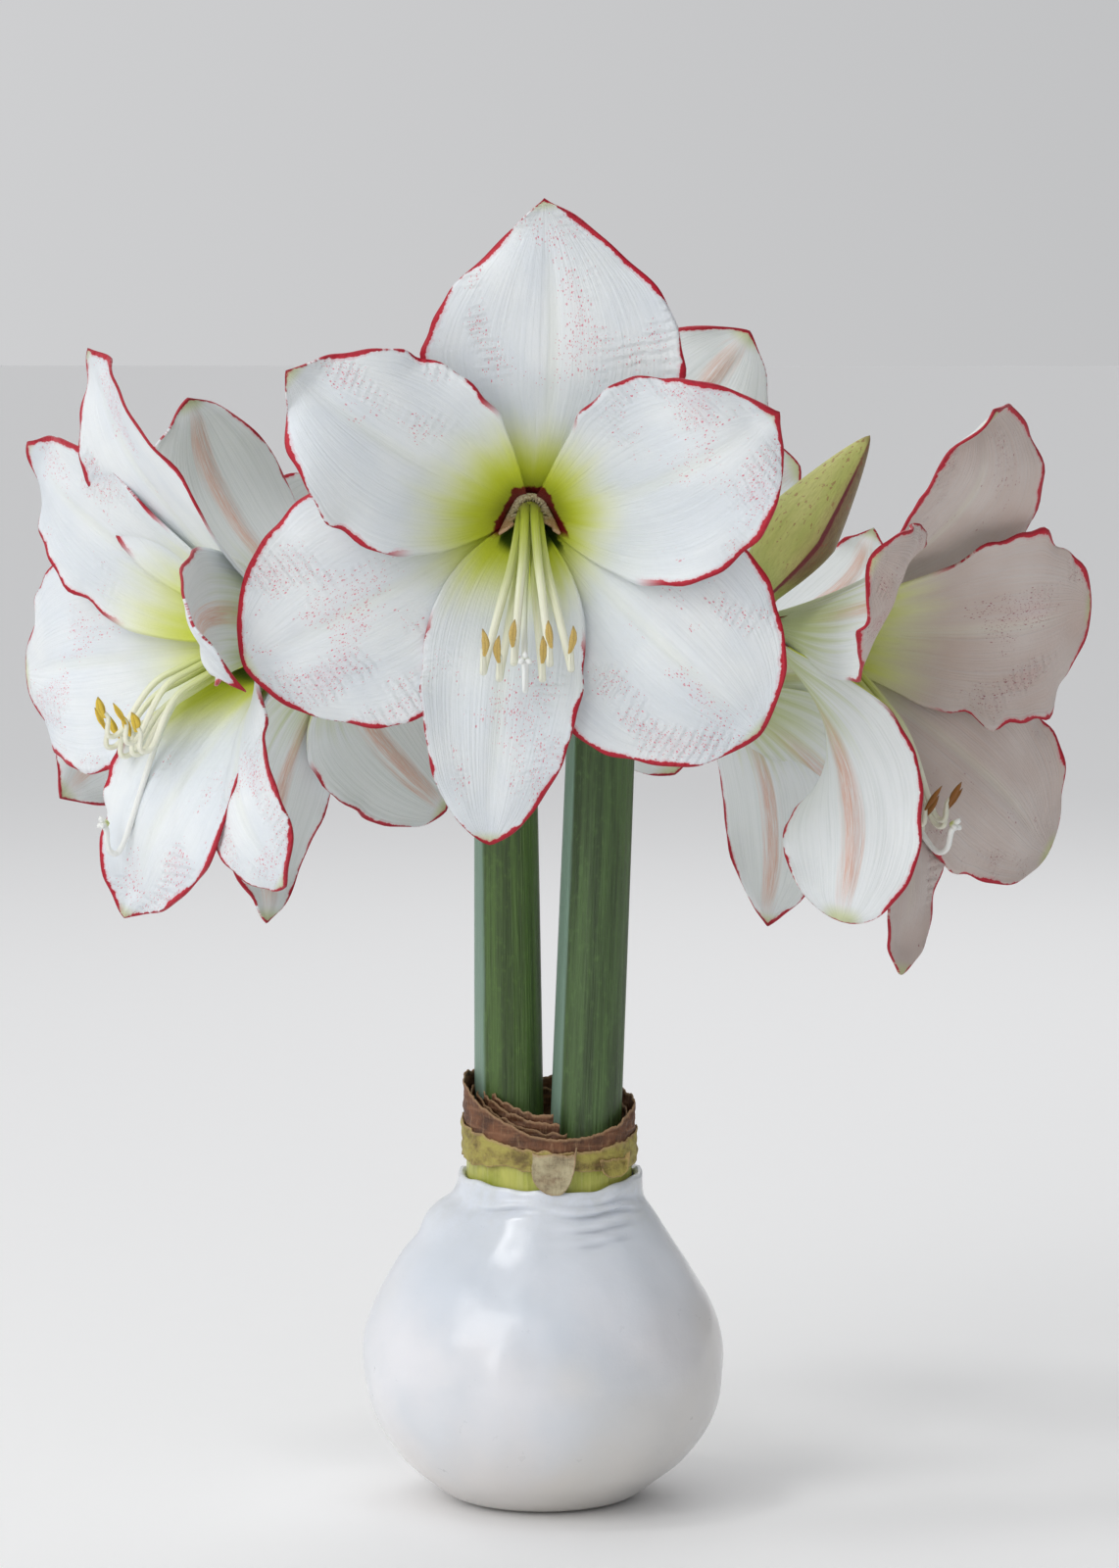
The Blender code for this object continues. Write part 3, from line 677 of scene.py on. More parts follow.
def bud_material(look):
    """The closed bud's skin: fibrous, brown along one edge, with dark seams underneath."""
    paint = Paint("bud skin", look.bud, 0.4, Coat_Weight=0.1)
    along, seam, face = paint.parts("stem")
    x, y, height = paint.parts("around")
    fibres = paint.noise((x * 1.5, y * 1.5, height * 0.06), detail=4, roughness=0.6)
    broad = paint.noise((x * 0.15, y * 0.15, height * 0.03), detail=2)
    paint.lay(broad.between(0.3, 0.7), tint(184, 188, 100))
    paint.lay(fibres.between(0.4, 0.75) * 0.3, tint(150, 154, 76))
    paint.lay(along.between(0.35, 0.02) * 0.7, tint(136, 158, 74))
    under = (0 - y).between(0, 4)
    blush = (abs(face) + (fibres - 0.5) * 0.5).between(0.5, 0.95) * along.between(0.05, 0.35) * under
    paint.lay(blush * 0.4, tint(150, 104, 76))
    edge = ((0 - y) / (x * x + y * y) ** 0.5).between(0.64, 0.74) * along.between(0.02, 0.3)
    paint.lay(edge * (fibres * 0.4 + 0.6), tint(110, 74, 62))
    spots = paint.noise((x * 0.9, y * 0.9, height * 0.5), detail=2)
    paint.lay((spots + along * 0.1).between(0.68, 0.74) * 0.6, tint(150, 84, 60))
    line = (seam + (fibres - 0.5) * 0.08).between(0.10, 0.04)
    paint.lay(line * (under * 0.8 + 0.2), look.seam)
    paint.lay(along.between(0.93, 1.0) * 0.6, tint(120, 84, 52))
    return paint.done(fibres * 0.5)


def wax_material(look):
    """Poured wax: soft and milky, with faint clouds, and thin enough at the rim to show the bulb. Light is
    painted on too: a cool cast on its upper part, and shade in warm grey towards its foot and its right side.
    """
    soft = {"Subsurface_Weight": 0.3, "Subsurface_Scale": 0.004, "Subsurface_Radius": (1, 0.95, 0.9)}
    paint = Paint("white wax", look.wax, look.roughness, Coat_Weight=0.6, Coat_Roughness=0.17, **soft)
    place = paint.place()
    x, _, height = paint.split(place)
    clouds = paint.noise(place, scale=26, detail=3)
    bloom = paint.noise(place, scale=160, detail=4, roughness=0.65)
    paint.lay(clouds.between(0.35, 0.68), tint(219, 223, 229))
    warm = paint.noise(place, scale=17, detail=2, roughness=0.4)
    paint.lay(warm.between(0.5, 0.68) * 0.5, tint(232, 226, 216))
    paint.lay(bloom.between(0.55, 0.8) * 0.22, tint(240, 240, 238))
    # painted light: a cool bluish cast on the upper part, which faces the light
    high = (height + (clouds - 0.5) * 0.03).between(0.045, 0.075)
    paint.lay(high * 0.5, tint(222, 232, 246))
    thin = (height + (clouds - 0.5) * 0.02).between(0.078, 0.096) * bloom.between(0.35, 0.7)
    paint.lay(thin * 0.3, tint(186, 186, 170))
    # painted shade: warm grey towards the foot
    low = (height + (clouds - 0.5) * 0.03).between(0.04, 0.0)
    paint.lay(low * 0.6, tint(208, 200, 190))
    # painted shade: warm grey on the right side, away from the light
    painted_shade_right = (x - height * 0.3 + (clouds - 0.5) * 0.04).between(0.0, 0.04)
    paint.lay(painted_shade_right * 0.4, tint(204, 201, 198))
    paint.feed(paint.shader.inputs["Roughness"], look.roughness + (bloom - 0.5) * 0.14)
    return paint.done(clouds * 1.3 + bloom * 0.14)


def neck_material(look):
    """The bulb's fleshy neck: yellow-green, finely ribbed, browner towards its torn top."""
    paint = Paint("bulb neck skin", look.neck, 0.42, Coat_Weight=0.1)
    x, y, height = paint.split(paint.place())
    fibres = paint.noise((x * 900, y * 900, height * 40), detail=3)
    patches = paint.noise((x * 120, y * 120, height * 60), detail=4, roughness=0.65)
    paint.lay(patches.between(0.35, 0.7), tint(160, 168, 62))
    paint.lay(fibres.between(0.45, 0.75) * 0.35, tint(206, 204, 130))
    brown = (height + (patches - 0.5) * 0.016).between(0.098, 0.107)
    paint.lay(brown * 0.75, tint(142, 108, 62))
    return paint.done(fibres * 0.4 + patches * 0.2)


def dry_scale_material(name, look, film, share):
    """Papery brown scale: fine upright fibres, stains, a share of the film's colour, and pale torn edges."""
    paint = Paint(name, look.scale, 0.6)
    angle, up, edge = paint.parts("scale")
    fibres = paint.noise((angle * 24, up * 0.2, 1), detail=4, roughness=0.6)
    stains = paint.noise((angle * 3.4, up * 0.16, 5), detail=5, roughness=0.65)
    folds = paint.noise((angle * 2.2, up * 0.6, 9), detail=3)
    paint.lay(stains.between(0.35, 0.66), dimmed(look.scale, 0.4))
    paint.lay(folds.between(0.5, 0.7) * 0.5, tint(150, 108, 78))
    paint.lay(fibres.between(0.5, 0.75) * 0.4, look.torn)
    paint.lay(stains.between(0.7, 0.4) * share + 0.3 * share, film)
    paint.lay(edge.between(1.1, 0.1) * 0.6, look.torn)
    return paint.done(fibres * 0.6 + folds * 0.8)


def floor_material(look):
    paint = Paint("studio floor", look.floor, 0.75)
    paint.lay(paint.noise(paint.place(), scale=60, detail=3) * 0.06, tint(236, 236, 236))
    return paint.done()


# Forms


def smooth_step(low, high, x):
    x = min(max((x - low) / (high - low), 0), 1)
    return x * x * (3 - 2 * x)


def plateau(x, start, full, wane, end):
    """0 up to start, 1 from full to wane, and 0 again from end."""
    return smooth_step(start, full, x) * (1 - smooth_step(wane, end, x))


def bell(x, middle, half_spread):
    return math.exp(-(((x - middle) / half_spread) ** 2))


def bezier(points, x):
    """The point and direction at share x of a cubic curve."""
    a, b, c, d = points
    y = 1 - x
    place = y**3 * a + 3 * y * y * x * b + 3 * y * x * x * c + x**3 * d
    direction = y * y * (b - a) + 2 * y * x * (c - b) + x * x * (d - c)
    return place, direction.normalized()


def path_at(knots, along):
    """Place, direction and radius on a smooth path whose knots have a place, a handle and a radius."""
    last = len(knots) - 2
    number = min(int(along * (last + 1)), last)
    x = along * (last + 1) - number
    (a, leave, first), (b, arrive, second) = knots[number], knots[number + 1]
    place, direction = bezier((a, a + leave, b - arrive, b), x)
    return place, direction, first + (second - first) * smooth_step(0, 1, x)


def form(*names):
    """A new mesh, with a vector at each of its points for each name."""
    bm = bmesh.new()
    return bm, *(bm.verts.layers.float_vector.new(name) for name in names)


def together(*parts):
    """Puts several forms, each with the number of its material, into one mesh."""
    whole = bmesh.new()
    for bm, number in parts:
        for face in bm.faces:
            face.material_index = number
        data = bpy.data.meshes.new("part")
        bm.to_mesh(data)
        bm.free()
        whole.from_mesh(data)
        bpy.data.meshes.remove(data)
    return whole


def spun(bm, profile, steps):
    """Turns a profile of (radius, height) points about Z."""
    verts = [bm.verts.new((radius, 0, height)) for radius, height in profile]
    edges = [bm.edges.new(pair) for pair in zip(verts, verts[1:])]
    bmesh.ops.spin(
        bm,
        geom=verts + edges,
        cent=(0, 0, 0),
        axis=(0, 0, 1),
        angle=2 * math.pi,
        steps=steps,
        use_merge=True,
    )
    bmesh.ops.remove_doubles(bm, verts=bm.verts, dist=0.001)


def swept(knots, sides, rows, reference, number=0, section=None):
    """A closed tube along a path. section gives the share of the path's radius in a direction round it."""
    bm, stem, around = form("stem", "around")
    bmesh.ops.create_cone(bm, cap_ends=True, segments=sides, radius1=1, radius2=1, depth=1)
    rails = [edge for edge in bm.edges if abs(edge.verts[0].co.z - edge.verts[1].co.z) > 0.5]
    bmesh.ops.subdivide_edges(bm, edges=rails, cuts=rows - 1)
    for vertex in bm.verts:
        along = vertex.co.z + 0.5
        angle = math.atan2(vertex.co.y, vertex.co.x)
        place, direction, radius = path_at(knots, along)
        right = direction.cross(reference).normalized()
        front = right.cross(direction)
        radius *= section(angle, along) if section else 1
        across = right * math.cos(angle) + front * math.sin(angle)
        vertex[stem] = (along, angle / math.pi, number)
        vertex[around] = (radius * math.cos(angle), radius * math.sin(angle), place.z)
        vertex.co = place + across * radius
    return bm


def finished(name, bm, materials, node):
    """Puts a piece in the scene in metres, smooth-shaded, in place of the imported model's node."""
    bmesh.ops.scale(bm, verts=bm.verts, vec=(MM, MM, MM))
    data = bpy.data.meshes.new(name)
    bm.to_mesh(data)
    bm.free()
    for material in materials:
        data.materials.append(material)
    data.shade_smooth()
    piece = bpy.data.objects.new(name, data)
    bpy.context.scene.collection.objects.link(piece)
    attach(piece, BODY)
    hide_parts(node)
    return piece


def thickened(piece, thickness, back=0):
    """Gives a sheet its thickness. Its back has the material that many places on."""
    wall = piece.modifiers.new("Thickness", "SOLIDIFY")
    wall.thickness = thickness
    wall.offset = 0
    wall.material_offset = back


def axes(heading, pitch):
    """A rotation whose X, Y and Z are right, up and out, for a bloom or bud that faces that way."""
    h, p = math.radians(heading), math.radians(pitch)
    out = Vector((math.sin(h) * math.cos(p), -math.cos(h) * math.cos(p), math.sin(p)))
    right = Vector((0, 0, 1)).cross(out).normalized()
    up = out.cross(right)
    return Matrix((right, up, out)).transposed()


def placed(bm, flower):
    """Brings a form from a flower's own axes to the plant's."""
    matrix = Matrix.Translation(flower.base) @ axes(flower.heading, flower.pitch).to_4x4()
    bmesh.ops.transform(bm, matrix=matrix, verts=bm.verts)
    return bm


# Bulb


def uneven(point):
    """Slow dents, and an oval neck that leans."""
    x, y, z = point
    angle = math.atan2(y, x)
    dents = 0.012 * math.sin(2 * angle + 2.2) + 0.009 * math.sin(3 * angle + z / 17)
    scale = 1 + dents * plateau(z, 3, 25, 70, 90)
    oval = 1 - (1 - NECK_DEPTH_SHARE) * smooth_step(60, 92, z)
    lump = LUMP * plateau(z, *LUMP_HEIGHTS) * smooth_step(0.72, 1, -math.cos(angle))
    shift = NECK_SHIFT * smooth_step(72, 94, z) - lump
    return Vector((x * scale + shift, y * scale * oval, z))


def wax_surface(point):
    """The coat's finer form: its wavy rim, soft dimples, and the creases where it gathered under the neck."""
    x, y, z = point
    angle = math.atan2(y, x)
    placed = uneven(point)
    high = smooth_step(90, 94, z)
    drip = 1 + 1.7 * math.cos(2 * angle) + 0.5 * math.sin(3 * angle + 0.9)
    drip += 0.35 * math.sin(7 * angle) + 0.2 * math.sin(15 * angle + 1)
    placed.z += drip * high
    outward = Vector((x, y, 0)).normalized() if Vector((x, y)).length > 1 else Vector((0, 0, 0))
    soft = noise.noise(placed / 19) + noise.noise(placed / 9 + Vector((7, 3, 1))) * 0.32
    soft *= smooth_step(2, 14, z)
    for heading, spread, height, depth in WAX_CREASES:
        turned = math.degrees(angle) - heading
        bow = height + 0.6 * math.sin(turned / 9)
        soft -= depth * bell(turned, 0, spread) * (bell(z, bow, 0.9) - 0.7 * bell(z, bow + 1.9, 1.0))
    return placed + outward * soft


def eased(a, b, c, d, t):
    """The number at share t between b and c, on a smooth curve that comes from a and goes on to d."""
    bend, rest = 2 * a - 5 * b + 4 * c - d, 3 * b - a - 3 * c + d
    return 0.5 * (2 * b + (c - a) * t + bend * t * t + rest * t**3)


def smooth_profile(points, steps):
    """A smooth curve through (radius, height) points."""
    ends = [points[0], *points, points[-1]]
    curve = [
        tuple(eased(*numbers, step / steps) for numbers in zip(*four))
        for four in zip(ends, ends[1:], ends[2:], ends[3:])
        for step in range(steps)
    ]
    return [*curve, points[-1]]


def wax_mesh():
    outside = smooth_profile([(FOOT_RADIUS, 0), *WAX_OUTLINE], 7)
    inside = [
        (radius - WAX_WALL, height) for radius, height in outside[::-1] if height > WAX_FLOOR_EDGE
    ]
    floor = [(inside[-1][0] - 5, WAX_FLOOR), (0, WAX_FLOOR)]
    bm = bmesh.new()
    spun(bm, [(0, 0), (FOOT_RADIUS * 0.6, 0), *outside, *WAX_LIP, *inside, *floor], 180)
    bmesh.ops.recalc_face_normals(bm, faces=bm.faces)
    for vertex in bm.verts:
        vertex.co = wax_surface(vertex.co)
    return bm


class AMARYLLIS_OT_wax_coat(bpy.types.Operator):
    """Model the coat of white wax round the bulb"""

    bl_idname = "amaryllis.wax_coat"
    bl_label = "Wax coat"

    def execute(self, context):
        look = context.scene.amaryllis_bulb
        finished("wax_skin", wax_mesh(), [wax_material(look)], "wax_coat")
        return {"FINISHED"}


class AMARYLLIS_OT_bulb_neck(bpy.types.Operator):
    """Give the bulb, of which the neck shows, its living skin"""

    bl_idname = "amaryllis.bulb_neck"
    bl_label = "Bulb neck"

    def execute(self, context):
        skin = neck_material(context.scene.amaryllis_bulb)
        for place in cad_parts["bulb"].material_slots:
            place.material = skin
        return {"FINISHED"}


class Scale(NamedTuple):
    """A dry scale on the neck. Its height runs up from bottom to top, and its spread is in degrees."""

    bottom: float
    top: float
    clear: float  # how far it stands off the neck
    middle: float = 0
    spread: float = 360
    tear: float = 1
    flare: float = 0  # how much further off a loose one stands at its rounded bottom
    droop: float = 1.6  # how uneven its lower edge is


DRY_SCALES = (
    Scale(106, 116, -1.5, tear=0.9),
    Scale(104, 119, 0.7),
    Scale(107, 117, -3.2, middle=-136, spread=120, tear=0.66),
    Scale(107, 118.6, -5, middle=-136, spread=110, tear=0.56),
    Scale(107, 119.6, -6.8, middle=-136, spread=100, tear=0.42),
)
NECK_FILMS = (
    Scale(101, 110.5, 1.3, tear=0.5, droop=3),
    Scale(97, 104, 2, middle=-44, spread=24, tear=0.1, flare=1.6),
)
HANGING_SCALES = (Scale(94, 106.5, 2, middle=-87, spread=27, tear=0.1, flare=1.6),)


def scale_sheet(scale, seed):
    """A torn papery sheet that follows the neck's oval."""
    bm, info = form("scale")
    columns = max(int(scale.spread), 30)
    bmesh.ops.create_grid(bm, x_segments=columns, y_segments=18, size=1)
    for vertex in bm.verts:
        angle = math.radians(scale.middle + scale.spread / 2 * vertex.co.x)
        up = (vertex.co.y + 1) / 2
        outward = Vector((math.cos(angle), math.sin(angle), 0))
        slow = noise.noise(outward * 2.3 + Vector((seed, 0, 0)))
        fast = noise.noise(outward * 8 + Vector((0, seed, 0)))
        faster = noise.noise(outward * 30 + Vector((0, 0, seed)))
        tear = 6 * math.sin(angle) - 3.5 * math.cos(angle) + 2.5 * math.cos(2 * angle)
        top = scale.top + scale.tear * tear + 0.9 * fast + 0.3 * faster
        bottom = scale.bottom + scale.droop * slow + 0.6 * fast + 0.2 * faster
        if scale.flare:
            narrow = math.sqrt(max(1 - vertex.co.x**2, 0))
            bottom += (scale.top - scale.bottom) * 0.8 * (1 - narrow) * (1 + 0.4 * vertex.co.x)
        height = bottom + (top - bottom) * up
        folds = noise.noise(Vector((outward.x * 5, outward.y * 5, height / 4 + seed)))
        rings = math.sin(height * 1.9 + 5 * slow + 3 * fast)
        radius = NECK_RADIUS + scale.clear + 0.45 * folds + 0.14 * rings + scale.flare * (1 - up) ** 1.5
        place = outward * radius
        vertex[info] = (angle, height, min(top - height, height - bottom + 0.4))
        vertex.co = Vector((place.x + NECK_SHIFT, place.y * NECK_DEPTH_SHARE, height))
    bmesh.ops.remove_doubles(bm, verts=bm.verts, dist=0.02)
    return bm


class AMARYLLIS_OT_dry_collar(bpy.types.Operator):
    """Model the torn, papery scales round the neck"""

    bl_idname = "amaryllis.dry_collar"
    bl_label = "Dry collar"

    def execute(self, context):
        look = context.scene.amaryllis_bulb
        kinds = (DRY_SCALES, NECK_FILMS, HANGING_SCALES)
        sheets = [
            (scale_sheet(scale, 3.7 * seed + 5.1 * number + 0.5), number)
            for number, scales in enumerate(kinds)
            for seed, scale in enumerate(scales)
        ]
        bm = together(*sheets)
        materials = [
            dry_scale_material("dry scale", look, look.scale, 0),
            dry_scale_material("neck film", look, tint(176, 166, 84), 0.7),
            dry_scale_material("sheer scale", look, tint(194, 184, 148), 0.7),
        ]
        thickened(finished("dry_scales", bm, materials, "dry_collar"), DRY_SHEET * MM)
        return {"FINISHED"}


# Stems


def ribs(angle, along):
    return 1 + 0.008 * math.sin(9 * angle + 2) + 0.006 * math.sin(17 * angle)


def scape_mesh(scape):
    """A leafless stem, faintly ribbed, that widens under its flowers."""
    foot, top = Vector(scape["foot"]), Vector(scape["top"])
    thick, thin = scape["radii"]
    knots = [
        (foot, (top - foot) / 3, thick),
        (top - Vector((0, 0, RECEPTACLE_LENGTH)), Vector((0, 0, 5)), thin),
        (top, Vector((0, 0, 4)), RECEPTACLE_RADIUS),
    ]
    return swept(knots, 72, 60, Vector((0, 1, 0)), section=ribs)


class AMARYLLIS_OT_scapes(bpy.types.Operator):
    """Model the two flower stems"""

    bl_idname = "amaryllis.scapes"
    bl_label = "Scapes"

    def execute(self, context):
        look = context.scene.amaryllis_stems
        for side, scape in SCAPES.items():
            # a pale strip of painted light runs along each scape's edge from this distance out
            painted_light_edge = 0.68 * scape["radii"][1]
            skin = stem_material(f"{side} scape skin", getattr(look, side), look.bloom, painted_light_edge)
            finished(f"{side}_stem", scape_mesh(scape), [skin], f"{side}_scape")
        return {"FINISHED"}


def pedicel_mesh(flower):
    """A flower's own stalk, which swells into the three-lobed ovary behind the bloom."""
    angle = math.radians(flower.root)
    ring = Vector((math.cos(angle), math.sin(angle), 0)) * PEDICEL_RING
    start = Vector(SCAPES[flower.scape]["top"]) + ring + Vector((0, 0, TOUCHING))
    out = axes(flower.heading, flower.pitch).col[2]
    end = Vector(flower.base) - out * TOUCHING
    ovary = end - out * OVARY_LENGTH
    reach = (ovary - start).length / 2.6
    knots = [
        (start, Vector((0, 0, reach)), PEDICEL_RADIUS),
        (ovary, out * reach * 0.7, PEDICEL_RADIUS * 0.9),
        (end - out * OVARY_LENGTH * 0.45, out * 4, OVARY_RADIUS),
        (end, out * 3, TUBE_RADIUS - 0.6),
    ]

    def lobes(angle, along):
        return 1 + 0.07 * math.cos(3 * angle) * plateau(along, 0.35, 0.6, 0.9, 1)

    return swept(knots, 36, 42, Vector((0, 0, 1)).cross(out).normalized(), section=lobes)


class AMARYLLIS_OT_pedicels(bpy.types.Operator):
    """Model the stalk and ovary behind each flower"""

    bl_idname = "amaryllis.pedicels"
    bl_label = "Pedicels"

    def execute(self, context):
        look = context.scene.amaryllis_stems
        skin = stem_material("pedicel skin", look.pedicel, look.bloom, 30)
        for name, flower in {**BLOOMS, "bud": BUD}.items():
            finished(f"{name}_stalk", pedicel_mesh(flower), [skin], f"{name}_pedicel")
        return {"FINISHED"}


# Blooms


def half_width(along, radius, tepal):
    """Half the width of a tepal: it fills its part of the throat, is broad-shouldered and ends in a point."""
    throat = SPREAD * radius
    width = (throat**-4 + (tepal.wide / 2) ** -4) ** -0.25
    share = max((along - SHOULDER) / (1 - SHOULDER), 0)
    return width * (1 - share**tepal.taper) ** tepal.blunt


def tepal_surface(tepal, outer, seed):
    """The function of a tepal's form: share along, place across -> point, half width and length there."""
    tip = Vector((tepal.right, tepal.up, tepal.out))
    spoke = Vector((tepal.right, tepal.up, 0)).normalized()
    side = Vector((0, 0, 1)).cross(spoke)
    length = tip.length
    start = spoke * (TUBE_RADIUS - (0.4 if outer else 1.6)) + Vector((0, 0, 1))
    throat = math.radians(THROAT_ANGLE + (WHORL_ANGLE if outer else 0))
    lean = math.radians(tepal.back)
    rise = spoke * math.sin(throat) + Vector((0, 0, math.cos(throat)))
    fall = spoke * math.cos(lean) - Vector((0, 0, math.sin(lean)))
    curve = (
        start,
        start + rise * length * THROAT_HANDLE + side * tepal.sway,
        tip - fall * length * FLARE_HANDLE + side * tepal.sway,
        tip,
    )
    draw = random.Random(seed)
    phases = [draw.uniform(0, 2 * math.pi) for _ in range(2)]

    def place(along, across):
        middle, forward = bezier(curve, along)
        radius = max(Vector(middle[:2]).length, 3)
        width = half_width(along, radius, tepal)
        sideways = (side - side.dot(forward) * forward).normalized()
        inward = forward.cross(sideways)
        twist = Matrix.Rotation(math.radians(tepal.turn) * smooth_step(0.05, 0.75, along), 3, forward)
        sideways, inward = twist @ sideways, twist @ inward
        open_share = smooth_step(0.35, 0.80, along)
        cup = math.radians(tepal.cup) / (tepal.wide / 2)
        bend = (1 - open_share) * max(forward.z, 0) / radius + open_share * cup
        phase = phases[0 if across < 0 else 1]
        ripple = math.sin(along * 31 + 2 * phase) + 0.6 * math.sin(along * 57 + 3 * phase)
        frill = tepal.frill * (0.012 * ripple + 0.014 * math.sin(along * 13 + 2.3 * phase))
        outspread = 1 + frill * abs(across) ** 4 * smooth_step(0.3, 0.5, along)
        over, lift = width * across * outspread, 0
        if abs(bend) > 1e-5:
            turned_by = bend * over
            over, lift = math.sin(turned_by) / bend, (1 - math.cos(turned_by)) / bend
        wave = math.sin(along * 15 + phase) * abs(across) ** 3
        swell = noise.noise(Vector((across * 1.4, along * 3.2, seed * 1.7)))
        lift += tepal.wave * wave * plateau(along, 0.25, 0.6, 0.9, 1)
        lift += RIPPLE_HEIGHT * ripple * abs(across) ** 6 * plateau(along, 0.35, 0.55, 0.9, 1)
        lift -= GROOVE_DEPTH * bell(width * across, 0, GROOVE_SPREAD) * plateau(along, 0.25, 0.45, 0.8, 0.97)
        lift += SWELL_HEIGHT * swell * plateau(along, 0.35, 0.6, 0.85, 1)
        hook = tepal.hook * smooth_step(0.88, 1, along) ** 1.5
        point = middle + sideways * over + inward * (lift + hook) - forward * hook * 0.7
        return point, width, along * length

    return place


def tepal_sheet(surface, grid, leaf):
    """One tepal as an open sheet that faces the bloom's front."""
    rows, columns = grid
    bm, share, blade, own = form("share", "blade", "bloom")
    bmesh.ops.create_grid(bm, x_segments=columns, y_segments=rows, size=1)
    for vertex in bm.verts:
        across = -vertex.co.x
        along = 1 - (1 - (vertex.co.y + 1) / 2) ** 1.5
        point, width, length = surface(along, across)
        before, after = surface(max(along - 0.01, 0), 0), surface(min(along + 0.01, 1), 0)
        slope = (after[1] - before[1]) / max(after[2] - before[2], 0.1)
        margin = (1 - abs(across)) * width / math.sqrt(1 + slope * slope)
        vertex[share] = (across, along, leaf)
        vertex[blade] = (across * width, length, margin)
        vertex[own] = point
        vertex.co = point
    bmesh.ops.remove_doubles(bm, verts=bm.verts, dist=0.05)
    return bm


def facing_out(bm, share_along):
    """Turns an open form to the bloom's front, and marks it as part of the throat."""
    share, blade, own = (bm.verts.layers.float_vector[name] for name in ("share", "blade", "bloom"))
    for vertex in bm.verts:
        vertex[share] = (0, share_along, 0)
        vertex[blade] = (9, 9, 9)
        vertex[own] = vertex.co
    bm.normal_update()
    bmesh.ops.reverse_faces(bm, faces=[face for face in bm.faces if face.normal.z < 0])
    return bm


def throat_cup():
    """The foot of the throat."""
    bm, *_ = form("share", "blade", "bloom")
    spun(bm, [(0, 0.4), (4.2, 0.4), (5.4, TUBE_FLOOR)], 48)
    return facing_out(bm, 0)


def throat_floor():
    """The floor of the throat, on which the stamens stand."""
    bm, *_ = form("share", "blade", "bloom")
    bmesh.ops.create_circle(bm, cap_ends=True, segments=48, radius=TUBE_RADIUS)
    bmesh.ops.translate(bm, verts=bm.verts, vec=(0, 0, TUBE_FLOOR - 0.4))
    return facing_out(bm, 0)


def throat_fringe(seed):
    """The arch of pale, toothed scales inside the crimson band."""
    draw = random.Random(seed)
    teeth = [
        draw.uniform(0, 0.5) + 1.4 * (number // TOOTH_COLUMNS % 2) for number in range(FRINGE_COLUMNS + 1)
    ]
    bm, *_ = form("share", "blade", "bloom")
    bmesh.ops.create_grid(bm, x_segments=FRINGE_COLUMNS, y_segments=4, size=1)
    for vertex in bm.verts:
        angle = math.radians(90 + FRINGE_SWEEP * vertex.co.x)
        up, over = math.sin(angle), abs(math.cos(angle))
        high, wide = max(up, 0.01) / FRINGE_HEIGHT, (over + 0.5 * up) / FRINGE_WIDTH
        outer = (high**5 + wide**5) ** -0.2
        tooth = teeth[round(FRINGE_COLUMNS / 2 * (vertex.co.x + 1))]
        inward = (vertex.co.y + 1) / 2
        radius = outer - inward * (0.9 + tooth) * (1 + 0.7 * abs(vertex.co.x) ** 3)
        depth = TUBE_FLOOR + 0.6 + 1.6 * (outer - FRINGE_HEIGHT) + 0.6 * inward
        vertex.co = (radius * math.cos(angle), radius * up, depth)
    return facing_out(bm, 0.3)


class AMARYLLIS_OT_perianths(bpy.types.Operator):
    """Model the six tepals of each bloom"""

    bl_idname = "amaryllis.perianths"
    bl_label = "Perianths"

    def execute(self, context):
        look = context.scene.amaryllis_tepals
        back, fringe = tepal_back_material(look), fringe_material()
        # the second face material carries painted shade, for the bloom that stands in shade
        faces = {painted_shade: tepal_face_material(name, look, painted_shade) for name, painted_shade in (("fresh", 0.0), ("older", 1.0))}
        for order, (name, bloom) in enumerate(BLOOMS.items()):
            materials = [faces[bloom.painted_shade], back, fringe]
            parts = [(throat_cup(), 0), (throat_floor(), 0), (throat_fringe(order), 2)]
            for number, place in enumerate(OUTER_WHORL + INNER_WHORL):
                surface = tepal_surface(getattr(bloom, place), place in OUTER_WHORL, 10 * order + number)
                parts.append((tepal_sheet(surface, bloom.grid, 6 * order + number + 1), 0))
            bm = placed(together(*parts), bloom)
            piece = finished(f"{name}_tepals", bm, materials, f"{name}_perianth")
            thickened(piece, look.thickness, 1)
        return {"FINISHED"}


def anther(middle, way, number, girth, length):
    """A two-lobed anther, its furrow to the front, pointed and dusted with pollen."""
    bm, stem = form("stem")
    bmesh.ops.create_uvsphere(bm, u_segments=24, v_segments=20, radius=1)
    side = Vector((0, 1, 0.2 * math.sin(5 * number))).cross(way).normalized()
    front = way.cross(side)
    bow = 0.7 * math.sin(2.4 * number + 1)
    for vertex in bm.verts:
        x, y, z = vertex.co
        angle = math.atan2(y, x)
        furrow = 1 - 0.36 * abs(math.sin(angle)) ** 5
        taper = (1 - 0.5 * smooth_step(0.55, 1, z)) * (0.86 + 0.14 * math.cos(4 * z))
        grain = 1 + 0.12 * noise.noise(Vector((x, y, 2 * z)) * 5 + Vector((number, 0, 0)))
        wide = girth * math.hypot(x, y) ** 0.6 * taper * furrow * grain
        place = middle + side * (wide * math.cos(angle) + bow * (1 - z * z))
        vertex[stem] = ((z + 1) / 2, abs(math.cos(angle)), number)
        vertex.co = place + front * (0.85 * wide * math.sin(angle)) + way * (z * length / 2)
    return bm


def flattened(turn, along):
    return 1 - 0.22 * abs(math.cos(turn))


